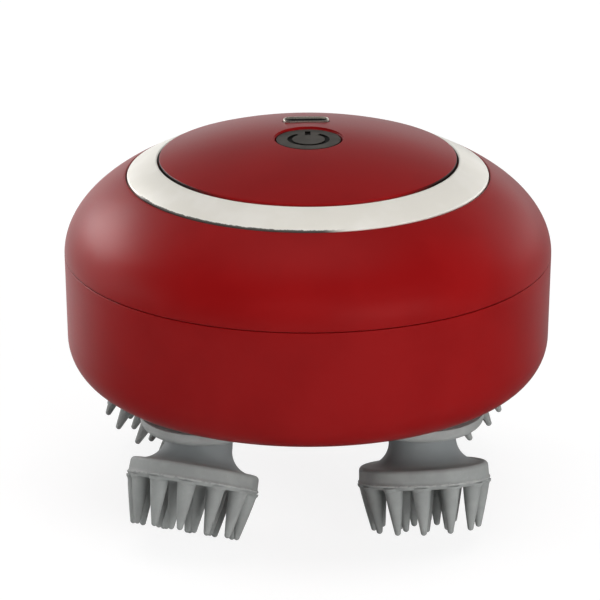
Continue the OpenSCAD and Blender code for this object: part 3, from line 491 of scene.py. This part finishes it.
def silicone(name, pale, dark, flash=True):
    """Grey silicone: mottling, dust caught in its skin, and a whitish flash line along the plate's rim.
    With the flash line, painted shade darkens the neck.
    """
    f = Finish(name)
    mottle = f.grain(5, detail=4, rough=0.6)
    fine = f.grain(0.35, detail=3)
    dust = f.step(f.cells(0.9), 0.12, 0.03)
    colour = f.shade(f.step(mottle, 0.35, 0.68), dark, pale)
    colour = f.shade(dust * 0.25, colour, (0.48, 0.48, 0.47))
    rough = 0.5 + 0.14 * mottle
    if flash:
        spot = f.own_map()
        radius, height = f.axis(spot, 0), f.axis(spot, 1)
        ragged = f.grain(1.1, detail=4, rough=0.75)
        wander = (ragged - 0.5) * 0.05
        near = f.step(height + wander, -1.262, -1.235) * f.step(height + wander, -1.185, -1.215)
        outer = f.step(radius, 1.245, 1.268)
        patchy = f.step(f.grain(0.9, detail=3), 0.36, 0.56)
        line = near * outer * patchy
        # painted shade: the neck, in shade under the body, is darkened and tinted bluish grey
        neck_shade = f.step(height, -0.93, -0.80)
        colour = f.shade(neck_shade * 0.6, colour, (0.165, 0.180, 0.190))
        colour = f.shade(line * 0.3, colour, (0.52, 0.52, 0.51))
        rough = rough + line * 0.15
    return f.done(
        Base_Color=colour, Roughness=rough, Specular_IOR_Level=0.35,
        Sheen_Weight=0.05, Sheen_Roughness=0.4,
        Normal=f.bump(fine + mottle * 0.6, 0.012, 0.5))


def moulded(name, colour, other, rough=0.5, grain=0.3, depth=0.006, specular=0.4):
    """Moulded plastic or rubber: faint flow clouding and a fine spark-eroded grain."""
    f = Finish(name)
    flow = f.grain(6, detail=3)
    fine = f.grain(grain, detail=2)
    return f.done(
        Base_Color=f.shade(f.step(flow, 0.35, 0.65), colour, other),
        Roughness=rough - 0.05 + 0.1 * fine, Specular_IOR_Level=specular,
        Normal=f.bump(fine, depth, 0.6))


def button_rubber():
    """Dark warm rubber, with painted shade darkening the sunk power mark."""
    f = Finish("button_rubber")
    fine = f.grain(0.2, detail=2)
    flow = f.grain(3, detail=3)
    height = f.axis(f.place(), 2) * (1 / MM)
    # painted shade: the sunk power mark, floor and walls, goes near-black as if in deep shadow
    sunk = f.step(height, BUTTON_FACE - 0.06, BUTTON_FACE - 0.14)
    colour = f.shade(f.step(flow, 0.35, 0.65), (0.058, 0.053, 0.047), (0.074, 0.068, 0.060))
    colour = f.shade(sunk, colour, (0.007, 0.006, 0.005))
    return f.done(
        Base_Color=colour, Roughness=0.62 + 0.12 * fine, Specular_IOR_Level=0.18,
        Normal=f.bump(fine, 0.006, 0.6))


def metal(name, colour, tarnish, rough=0.3, brushed=None, painted_shade_below=None):
    """Metal with a faint tarnish and tool marks. Painted shade makes a cavity dark and dull a little below
    its rim.
    """
    f = Finish(name)
    tint = f.grain(2.5, detail=3)
    marks = f.grain(0.25, detail=2, stretch=brushed or (1, 1, 1))
    shade = f.shade(f.step(tint, 0.35, 0.7), colour, tarnish)
    metallic = 1.0
    if painted_shade_below:
        # painted shade: near-black and not metallic below the rim, where the cavity lies in shade
        sunk = f.step(f.axis(f.place(), 2) * (1 / MM), painted_shade_below - 0.2, painted_shade_below - 0.45)
        shade = f.shade(sunk, shade, (0.008, 0.008, 0.008))
        metallic = 1 - sunk
    return f.done(
        Base_Color=shade,
        Metallic=metallic, Roughness=rough - 0.05 + 0.12 * marks,
        Normal=f.bump(marks, 0.002, 0.4))


def circuit_board():
    """Green solder mask with copper tracks under it and pale pads."""
    f = Finish("circuit_board")
    spot = f.place()
    rows = f.add("ShaderNodeTexWave", {"wave_type": "BANDS", "bands_direction": "X"}, {
        "Vector": spot, "Scale": 260.0, "Distortion": 7.0, "Detail": 0.0, "Detail Scale": 0.5})
    track = f.step(rows, 0.72, 0.8)
    pads = f.step(f.cells(2.6), 0.16, 0.13)
    colour = f.shade(track, (0.010, 0.085, 0.030), (0.030, 0.17, 0.055))
    colour = f.shade(pads, colour, (0.72, 0.66, 0.50))
    return f.done(
        Base_Color=colour, Metallic=pads, Roughness=0.35 - 0.08 * pads,
        Normal=f.bump(track + pads, 0.02, 0.6))


def cell_wrap():
    """Shrink wrap on the cell: blue film with faint lengthwise creases and a pale end ring."""
    f = Finish("cell_wrap")
    creases = f.grain(1.4, detail=3, stretch=(0.12, 1, 1))
    x = f.axis(f.place(), 0) * (1 / MM)
    end = f.step(x, high("battery_cell")[0] - 1.4, high("battery_cell")[0] - 1.2)
    colour = f.shade(f.step(creases, 0.3, 0.7), (0.020, 0.085, 0.27), (0.028, 0.11, 0.33))
    colour = f.shade(end, colour, (0.6, 0.6, 0.6))
    return f.done(
        Base_Color=colour, Roughness=0.26 + 0.12 * creases, Metallic=end * 0.9,
        Normal=f.bump(creases, 0.03, 0.5))


def clear_lens():
    """The indicator's light pipe: a dull red-tinted plastic."""
    f = Finish("indicator_plastic")
    fine = f.grain(0.3, detail=2)
    colour = f.shade(f.step(fine, 0.4, 0.6), (0.30, 0.020, 0.035), (0.42, 0.035, 0.055))
    return f.done(
        Base_Color=colour, Roughness=0.25 + 0.1 * fine, Coat_Weight=0.3,
        Normal=f.bump(fine, 0.003, 0.5))


# --- Pieces -------------------------------------------------------------------------------------

def make_dome(finish):
    hole = RING_OUT + TRIM_GAP
    foot = SEAM_Z + SEAM_GAP / 2
    lip = BODY_R - WALL - LIP_GAP
    start = math.asin(0.4 / DOME_H)
    end = math.acos(hole / BODY_R)
    outside = [dome_point(start + (end - start) * i / 40) for i in range(41)]
    inner_start = math.acos((lip - LIP_T + 0.01) / (BODY_R - WALL))
    inner_end = math.acos(hole / (BODY_R - WALL))
    inside = [dome_point(inner_end + (inner_start - inner_end) * i / 24, WALL) for i in range(25)]
    edge_z = outside[-1][1]
    line = softened([(BODY_R - WALL, foot), (outside[0][0], foot, 0.16), (outside[0][0], outside[0][1])])
    line += outside[1:-1]
    line += softened([outside[-2], (hole, edge_z, 0.14), (hole, ring_top(hole) - RING_T)])[1:]
    line += [(RING_IN, SEAT_Z), (RING_IN - CAP_SEAT, SEAT_Z), (RING_IN - CAP_SEAT, SEAT_Z - LEDGE_T),
             (RING_IN, SEAT_Z - LEDGE_T), (hole - 0.05, RING_Z - RING_T - LEDGE_T)]
    line += inside
    groove = SEAM_Z - LIP_DEPTH / 2
    groove_floor, half_groove = lip - 0.9, 0.5
    line += [(lip - LIP_T, SEAM_Z - LIP_DEPTH), (lip, SEAM_Z - LIP_DEPTH), (lip, groove - half_groove),
             (groove_floor, groove - half_groove), (groove_floor, groove + half_groove),
             (lip, groove + half_groove), (lip, foot - 0.02)]
    piece = turned(line, loop=True, steps=192)
    return hand_over(piece, "dome", "housing", finish, ["upper_cover"])


def make_lower_shell(finish):
    edge_z = BOTTOM_Z + BOTTOM_EDGE
    edge_r = BOTTOM_R - BOTTOM_EDGE
    top = SEAM_Z - SEAM_GAP / 2
    line = [(0, BOTTOM_Z), (6, BOTTOM_Z), (14, BOTTOM_Z), (24, BOTTOM_Z), (32, BOTTOM_Z)]
    line += arc((edge_r, edge_z), BOTTOM_EDGE, -90, 0, 20)
    side = [(BOTTOM_R + (BODY_R - BOTTOM_R) * k / 5, edge_z + (top - edge_z) * k / 5)
            for k in range(1, 5)]
    line += side
    line += softened([side[-1], (BODY_R, top, 0.16), (BODY_R - WALL, top, 0.2),
                      (BODY_R - WALL, top - 3)])[1:]
    line += arc((edge_r, edge_z), BOTTOM_EDGE - WALL, 0, -90, 12)
    line += [(24, BOTTOM_Z + WALL), (0, BOTTOM_Z + WALL)]
    piece = turned(line, steps=192)
    for name in CORNER_NAMES:
        at = middle("head_shaft_" + name)[:2]
        combine(piece, peg(2.4, BOTTOM_Z - 1, BOTTOM_Z + WALL + 1, at, 48), "DIFFERENCE")
    return hand_over(piece, "lower_shell", "housing", finish, ["lower_housing"])


def make_trim_ring(finish):
    inner = RING_IN + TRIM_GAP
    line = softened([
        (inner, ring_top(inner) - RING_T, 0.1), (RING_OUT, RING_Z - RING_T, 0.1),
        (RING_OUT, RING_Z, 0.42), (inner, ring_top(inner), 0.34)], closed=True, steps=6)
    piece = turned(line, loop=True, steps=192)
    return hand_over(piece, "trim_band", "housing", finish, ["trim_ring"])


def slot_tool(width, depth, bottom, top, at):
    """A tool with the port's rounded outline."""
    piece = peg(depth / 2, bottom, top, (0, 0), 48)
    edit(piece)
    for side in (-1, 1):
        pick(piece, "VERT", lambda v: v.co.x * side > 0.001 * MM)
        bpy.ops.transform.translate(value=(side * (width - depth) / 2 * MM, 0, 0))
    bpy.ops.object.mode_set(mode="OBJECT")
    return put(piece, Matrix.Translation((0, at * MM, 0)))


def make_cap(finish):
    angle = math.asin(RING_IN / BALL_R)
    outside = [(BALL_R * math.sin(angle * i / 36), BALL_Z + BALL_R * math.cos(angle * i / 36))
               for i in range(37)]
    under_r = BALL_R - CAP_T
    inner = RING_IN - CAP_T
    angle_in = math.asin(inner / under_r)
    inside = [(under_r * math.sin(angle_in * i / 16), BALL_Z + under_r * math.cos(angle_in * i / 16))
              for i in range(16, -1, -1)]
    line = outside[:-1]
    line += softened([outside[-2], (*outside[-1], 0.22), (RING_IN, SEAT_Z, 0.1), (inner, SEAT_Z)])[1:]
    line += inside
    piece = turned(line, steps=168)
    rim = cap_z(-BUTTON_AT + BUTTON_R)
    bore = BUTTON_R + BUTTON_GAP
    tool = turned([(0, SEAT_Z), (bore, SEAT_Z), (bore, rim - 0.16), (bore + 0.04, rim - 0.07),
                   (bore + 0.13, rim), (bore + 0.2, rim + 2), (0, rim + 2)], steps=96)
    combine(piece, put(tool, Matrix.Translation((0, BUTTON_AT * MM, 0))), "DIFFERENCE")
    combine(piece, slot_tool(PORT_W + 0.4, PORT_D + 0.4, SEAT_Z, CAP_TOP + 2, PORT_AT), "DIFFERENCE")
    combine(piece, peg(LENS_R + 0.05, SEAT_Z, CAP_TOP + 2, (0, LENS_AT), 40), "DIFFERENCE")
    return hand_over(piece, "centre_cap", "housing", finish, ["top_cap"], crease=28)


def make_button(finish):
    bottom = low("power_button")[2]
    foot = BUTTON_FACE - 2.8
    stem, flange, flange_top = 2.1, BUTTON_R + 1.2, foot + 0.7
    line = [(0, bottom), (stem, bottom), (stem, foot), (flange, foot), (flange, flange_top),
            (BUTTON_R, flange_top)]
    line += softened([(BUTTON_R, flange_top), (BUTTON_R, BUTTON_FACE, 0.3), (0, BUTTON_FACE)],
                     steps=7)[1:-1]
    line += [(4.9, BUTTON_FACE - 0.02), (4.3, BUTTON_FACE - 0.03), (3.2, BUTTON_FACE - 0.03),
             (2.0, BUTTON_FACE - 0.03), (0, BUTTON_FACE - 0.03)]
    piece = turned(line, steps=112)
    mark_r, stroke, depth = 4.1, 0.95, 0.35
    opening = math.radians(34)
    inner, outer = mark_r - stroke, mark_r
    floor, top = BUTTON_FACE - depth, BUTTON_FACE + 1
    tool = draw_outline([(inner, floor), (outer, floor), (outer, top), (inner, top)], True)
    bpy.ops.mesh.select_all(action="SELECT")
    bpy.ops.mesh.remove_doubles(threshold=0.0005 * MM)
    bpy.ops.mesh.select_all(action="SELECT")
    bpy.ops.mesh.edge_face_add()
    bpy.ops.mesh.spin(steps=60, angle=-(TURN - 2 * opening), center=(0, 0, 0), axis=(0, 0, 1))
    close_skin(tool)
    turn = Matrix.Rotation(math.radians(90) + opening, 4, "Z")
    combine(piece, put(tool, turn), "DIFFERENCE")
    clear_hands()
    bpy.ops.mesh.primitive_cube_add(size=MM)
    bar = bpy.context.object
    bar.scale = (1.15 * stroke, 2.6 * stroke, 1 + depth)
    bar.location = (0, (mark_r - 0.3 * stroke) * MM, (floor + top) / 2 * MM)
    bpy.ops.object.transform_apply(location=True, rotation=True, scale=True)
    combine(piece, bar, "DIFFERENCE")
    put(piece, Matrix.Translation((0, BUTTON_AT * MM, 0)))
    return hand_over(piece, "power_key", "button", finish, ["power_button"])


def make_port(shell_finish, tongue_finish):
    wall = 0.3
    piece = slot_tool(PORT_W, PORT_D, PORT_FOOT, PORT_TOP, 0)
    edit(piece)
    pick(piece, "FACE", lambda f: f.normal.z > 0.9)
    bpy.ops.mesh.inset(thickness=wall * MM)
    bpy.ops.mesh.extrude_region_move(TRANSFORM_OT_translate={"value": (0, 0, -7.1 * MM)})
    pick(piece, "EDGE", lambda e: min(ends(piece, e)) > PORT_TOP - 0.01
         and (piece.data.vertices[e.vertices[0]].co - piece.data.vertices[e.vertices[1]].co).length
         > 0.01 * MM)
    bpy.ops.mesh.bevel(offset=0.11 * MM, segments=3, affect="EDGES")
    bpy.ops.object.mode_set(mode="OBJECT")
    put(piece, Matrix.Translation((0, PORT_AT * MM, 0)))
    hand_over(piece, "port_shell", "housing", shell_finish, ["usb_shell"], crease=40)
    clear_hands()
    bpy.ops.mesh.primitive_cube_add(size=MM)
    tongue = bpy.context.object
    bottom, top = low("usb_tongue")[2], high("usb_tongue")[2]
    tongue.scale = (6.7, 0.7, top - bottom)
    tongue.location = (0, PORT_AT * MM, (bottom + top) / 2 * MM)
    bpy.ops.object.transform_apply(location=True, rotation=True, scale=True)
    edit(tongue)
    pick(tongue, "EDGE", lambda e: max(ends(tongue, e)) > top - 0.01)
    bpy.ops.mesh.bevel(offset=0.12 * MM, segments=3, affect="EDGES")
    pick(tongue, "FACE", lambda f: abs(f.normal.y) > 0.9)
    bpy.ops.mesh.inset(thickness=0.15 * MM)
    bpy.ops.mesh.extrude_region_move(TRANSFORM_OT_translate={"value": (0, 0, 0)})
    bpy.ops.object.mode_set(mode="OBJECT")
    close_skin(tongue)
    hand_over(tongue, "port_tongue", "housing", tongue_finish, ["usb_tongue"],
              crease=40)


def make_lens(finish):
    bottom = low("indicator_lens")[2]
    top = high("indicator_lens")[2]
    flange_top = cap_z(LENS_AT + LENS_R + 0.8, CAP_T) - 0.05
    wide = LENS_R + 0.8
    line = [(0, bottom), (LENS_R, bottom), (LENS_R, flange_top - 0.8), (wide, flange_top - 0.8),
            (wide, flange_top), (LENS_R, flange_top), (LENS_R, top - 0.2)]
    line += [(LENS_R * 0.92, top - 0.09), (LENS_R * 0.7, top - 0.03), (LENS_R * 0.4, top - 0.005),
             (0, top)]
    piece = put(turned(line, steps=48), Matrix.Translation((0, LENS_AT * MM, 0)))
    return hand_over(piece, "indicator_window", "housing", finish, ["indicator_lens"])


def head_matrix(i):
    """The frame of head i: its axis leans, and it hangs from the crossing point."""
    at = middle("head_shaft_" + CORNER_NAMES[i])
    return (Matrix.Translation((at[0] * MM, at[1] * MM, CROSSING * MM))
            @ Matrix.Rotation(math.radians(LEANS[i]), 4, "Z"))


def write_turning_map(piece):
    """Keeps each corner's radius and height as the piece was turned, in units of 10 mm."""
    layer = piece.data.uv_layers.new(name="turning")
    for loop in piece.data.loops:
        co = piece.data.vertices[loop.vertex_index].co
        layer.data[loop.index].uv = (math.hypot(co.x, co.y) / (10 * MM), co.z / (10 * MM))


def whole_head():
    """A head about its own axis, before it is cut level under the collar."""
    flare = -PLATE_Z / 2
    under = PLATE_Z - PLATE_T
    rim = 0.85
    side = PLATE_R - 0.3
    line = [(0, 3.5), (3, 3.5), (NECK_R, 3.5), (NECK_R, 2.0), (NECK_R, 0.5), (NECK_R, -1.5),
            (NECK_R, -3.0)]
    line += arc((NECK_R + 0.2 + flare, flare + PLATE_Z), flare, 180, 270, 16)
    line += arc((side - rim, PLATE_Z - rim), rim, 90, 0, 8)
    line += [(side + 0.05, under + 1.6), (side + 0.08, under + 1.14), (PLATE_R - 0.12, under + 1.0),
             (PLATE_R, under + 0.88), (PLATE_R, under + 0.68), (PLATE_R - 0.12, under + 0.55),
             (PLATE_R - 0.3, under + 0.4), (PLATE_R - 0.38, under + 0.14), (PLATE_R - 0.55, under)]
    line += [(9, under), (4, under), (0, under)]
    head = turned(line, steps=140)
    edit(head)
    pick(head, "VERT", lambda v: math.hypot(v.co.x, v.co.y) > (PLATE_R - 0.15) * MM)
    bpy.ops.transform.vertex_random(offset=0.05 * MM, uniform=0.0, normal=0.0, seed=7)
    bpy.ops.object.mode_set(mode="OBJECT")
    foot, base = 0.5, PRONG_BASE_R - 0.1
    slim = [(base + 0.26, 0.0), (base + 0.11, -0.10), (base + 0.02, -0.32), (base - 0.05, -0.7)]
    drop = PRONG_LEN - PRONG_TIP_R - 0.7
    shaft = [(base - 0.05 + (PRONG_TIP_R - base + 0.05) * (k / 8) ** 1.15, -0.7 - drop * k / 8)
             for k in range(1, 8)]
    tip = arc((0, PRONG_TIP_R - PRONG_LEN), PRONG_TIP_R, 0, -90, 7)
    prong = turned([(0, foot), (base + 0.3, foot)] + slim + shaft + tip, steps=28)
    prongs = []
    for count, wide, narrow, turn in PRONG_RINGS:
        lean = math.atan2(wide - narrow, PRONG_LEN - PRONG_TIP_R)
        for k in range(count):
            place = (Matrix.Rotation(turn + TURN * k / count, 4, "Z")
                     @ Matrix.Translation((wide * MM, 0, under * MM)) @ Matrix.Rotation(lean, 4, "Y"))
            prongs.append(put(twin(prong), place))
    bpy.data.objects.remove(prong, do_unlink=True)
    return combine(head, joined(prongs), "UNION")


def cut_level(piece, tilt, height):
    """Cuts a tilted piece off above a level height, and returns the turn that tilts it."""
    turn = Matrix.Rotation(-math.radians(tilt), 4, "Y")
    up = turn.inverted() @ Vector((0, 0, 1))
    edit(piece)
    bpy.ops.mesh.select_all(action="SELECT")
    bpy.ops.mesh.bisect(plane_co=up * height * MM, plane_no=up, use_fill=True, clear_outer=True)
    bpy.ops.object.mode_set(mode="OBJECT")
    return turn


def make_heads(finish):
    gap = 0.05
    disc = -PLATE_Z - PIN_DISC_T / 2
    whole = whole_head()
    pin, pin_disc = PIN_R + gap, PIN_DISC_R + gap
    disc_top, disc_foot = -disc + gap, -disc - PIN_DISC_T - gap
    cavity = turned([(0, 4), (pin, 4), (pin, disc_top), (pin_disc, disc_top), (pin_disc, disc_foot),
                     (0, disc_foot)], steps=64)
    for i, name in enumerate(CORNER_NAMES):
        piece = twin(whole)
        turn = cut_level(piece, TILTS[i], COLLAR_BOTTOM)
        combine(piece, twin(cavity), "DIFFERENCE")
        close_skin(piece)
        write_turning_map(piece)
        put(piece, head_matrix(i) @ turn)
        hand_over(piece, "silicone_head_" + name, "head_" + name, finish,
                  ["massage_head_" + name], crease=40)
    bpy.data.objects.remove(whole, do_unlink=True)
    bpy.data.objects.remove(cavity, do_unlink=True)


def make_turrets(finish):
    soft = 1.8
    line = [(0, COLLAR_BOTTOM), (5, COLLAR_BOTTOM), (9, COLLAR_BOTTOM)]
    line += arc((COLLAR_R - soft, COLLAR_BOTTOM + soft), soft, -90, 0, 10)
    line += softened([(COLLAR_R, COLLAR_BOTTOM + soft), (COLLAR_R, COLLAR_TOP, 0.15),
                      (8, COLLAR_TOP)])[1:]
    line += [(0, COLLAR_TOP)]
    collar = turned(line, steps=128)
    disc = -PLATE_Z - PIN_DISC_T / 2
    pin = turned([(0, 1.0), (PIN_R, 1.0), (PIN_R, -disc), (PIN_DISC_R, -disc),
                  (PIN_DISC_R, -disc - PIN_DISC_T), (0, -disc - PIN_DISC_T)], steps=64)
    for i, name in enumerate(CORNER_NAMES):
        piece = twin(collar)
        stem = twin(pin)
        turn = cut_level(stem, TILTS[i], COLLAR_BOTTOM + 0.5)
        combine(piece, put(stem, turn), "UNION")
        combine(piece, peg(2.01, COLLAR_BOTTOM + 0.49, COLLAR_TOP + 1, (0, 0), 48), "DIFFERENCE")
        put(piece, head_matrix(i))
        hand_over(piece, "collar_" + name, "head_" + name, finish, ["head_turret_" + name])
    bpy.data.objects.remove(collar, do_unlink=True)
    bpy.data.objects.remove(pin, do_unlink=True)


def dress(nodes, finish):
    """Gives carried-over nodes their finish."""
    for name in nodes:
        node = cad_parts[name]
        if not node.material_slots:
            node.data.materials.append(finish)
        for place in node.material_slots:
            place.material = finish


# --- Studio -------------------------------------------------------------------------------------

def softbox(name, at, size, power, mirrored):
    """A lamp panel aimed at the object. Mirrored, it shows in the gloss alone, or else it only lights."""
    lamp = bpy.data.lights.new(name, "AREA")
    lamp.shape = "RECTANGLE"
    lamp.size, lamp.size_y = size
    lamp.energy = power
    box = bpy.data.objects.new(name, lamp)
    box.location = at
    box.rotation_euler = (Vector((0, 0, 0.045)) - Vector(at)).to_track_quat("-Z", "Y").to_euler()
    box.visible_glossy = mirrored
    box.visible_diffuse = not mirrored
    bpy.context.scene.collection.objects.link(box)


def make_floor():
    """A white floor that keeps a soft shadow. In the gloss it is dim in front and white behind."""
    clear_hands()
    bpy.ops.mesh.primitive_circle_add(vertices=96, radius=4.0, fill_type="NGON", location=(0, 0, 0))
    floor = bpy.context.object
    floor.name = "studio_floor"
    f = Finish("studio_floor")
    paint = f.add("ShaderNodeBsdfDiffuse", None, {"Color": (0.86, 0.86, 0.86, 1)})
    spot = f.place()
    far = f.step(f.axis(spot, 1), 0.0, 1.0, 1.15, 1.36)
    glow = f.add("ShaderNodeEmission", None, {"Color": (1, 1, 1, 1), "Strength": far})
    seen = f.add("ShaderNodeMixShader", None, {
        0: f.add("ShaderNodeLightPath", out="Is Camera Ray") * 0.74, 1: paint, 2: glow})
    leftward = f.step(f.axis(spot, 0), -0.05, 0.12, 1.0, 0.5)
    depth = f.step(f.axis(spot, 1), -0.03, 0.10, 0.05, 0.95) * leftward
    sheen = f.add("ShaderNodeEmission", None, {"Color": (1, 1, 1, 1), "Strength": depth})
    floor.data.materials.append(f.end(f.add("ShaderNodeMixShader", None, {
        0: f.add("ShaderNodeLightPath", out="Is Glossy Ray"), 1: seen, 2: sheen})))


def make_air():
    """White air. Around the object it is dim, but for a white backdrop low behind it."""
    world = bpy.data.worlds.new("studio_air")
    bpy.context.scene.world = world
    world.use_nodes = True
    air = Finish("studio_air", world)
    camera = air.add("ShaderNodeLightPath", out="Is Camera Ray")
    way = air.add("ShaderNodeTexCoord", out="Generated")
    behind = air.step(air.axis(way, 1), 0.1, 0.75)
    backdrop = air.step(air.axis(way, 2), 0.36, 0.14) * 0.9
    around = 0.05 + behind * (0.24 + backdrop)
    air.end(air.add("ShaderNodeBackground", None, {
        "Color": (1, 1, 1, 1), "Strength": camera + (1 - camera) * around}), "ShaderNodeOutputWorld")


def make_studio():
    make_floor()
    make_air()
    softbox("left_highlight", (-0.72, 0.62, 0.42), (0.52, 0.34), 4.3, True)
    softbox("right_highlight", (0.80, 0.55, 0.40), (0.6, 0.5), 0.6, True)
    softbox("front_highlight", (-0.1, -1.05, 0.60), (1.0, 0.22), 0.55, True)
    softbox("top_softbox", (0.0, -0.1, 1.2), (1.0, 0.8), 7.4, False)
    softbox("front_softbox", (0.7, -1.05, 0.3), (1.0, 0.5), 13.5, False)
    softbox("left_softbox", (-0.9, 0.1, 0.16), (0.6, 0.3), 4.4, False)


# --- The object ---------------------------------------------------------------------------------

set_camera()

shell_red = soft_touch_red(
    "soft_touch_red", (0.250, 0.0042, 0.0048), (0.230, 0.0032, 0.0038), (0.30, 0.030, 0.032))
# the cap's red carries painted shade along its outer edge, in the gap to the trim ring
cap_red = soft_touch_red(
    "cap_red", (0.250, 0.0050, 0.0056), (0.230, 0.0040, 0.0046), (0.30, 0.034, 0.036), rim=RING_IN)
make_dome(shell_red)
make_lower_shell(shell_red)
make_trim_ring(satin_trim())
make_cap(cap_red)
make_button(button_rubber())
black = moulded("black_plastic", (0.012, 0.012, 0.013), (0.018, 0.018, 0.019), rough=0.42)
plated = metal("port_metal", (0.84, 0.80, 0.71), (0.72, 0.68, 0.60), rough=0.28, painted_shade_below=PORT_TOP)
make_port(plated, black)
make_lens(clear_lens())
make_heads(silicone("head_silicone", (0.290, 0.303, 0.295), (0.247, 0.258, 0.252)))
# painted light: the collars' silicone is given a paler grey than the heads' silicone, as if lit more
make_turrets(silicone("turret_skin", (0.310, 0.320, 0.314), (0.265, 0.274, 0.268), flash=False))

dress(["housing_gasket", "shaft_seals"],
      moulded("seal_rubber", (0.020, 0.020, 0.021), (0.03, 0.03, 0.03), rough=0.65))
nylon = moulded("nylon", (0.78, 0.74, 0.64), (0.70, 0.67, 0.58), rough=0.45, grain=0.5)
dress(["gear_case", "gear_case_cover", "left_drive_gear", "right_drive_gear", "reduction_gear",
       "switch_plunger"] + ["head_gear_" + name for name in CORNER_NAMES], nylon)
dress(["battery_cradle", "motor_end_cap", "board_chips", "switch_body"], black)
steel = metal("steel", (0.56, 0.57, 0.58), (0.44, 0.44, 0.45), rough=0.3, brushed=(1, 1, 0.15))
dress(["drive_axles", "reduction_axle", "motor_shaft", "motor_can", "cover_screws", "gear_case_screws",
       "motor_screws", "board_screws"] + ["head_shaft_" + name for name in CORNER_NAMES], steel)
dress(["lower_bushes", "upper_bushes", "motor_pinion", "motor_rotor"],
      metal("bronze", (0.60, 0.38, 0.16), (0.42, 0.25, 0.11), rough=0.34))
dress(["motor_magnet"],
      moulded("magnet", (0.055, 0.055, 0.058), (0.075, 0.072, 0.07), rough=0.6, grain=0.15))
dress(["battery_cell"], cell_wrap())
dress(["battery_leads"], moulded("red_lead_cover", (0.42, 0.015, 0.012), (0.5, 0.02, 0.015), rough=0.4))
dress(["motor_leads"], moulded("blue_lead_cover", (0.015, 0.05, 0.30), (0.02, 0.06, 0.36), rough=0.4))
dress(["circuit_board"], circuit_board())
dress(["status_led"], moulded("led_body", (0.8, 0.78, 0.7), (0.72, 0.7, 0.62), rough=0.3))

make_studio()
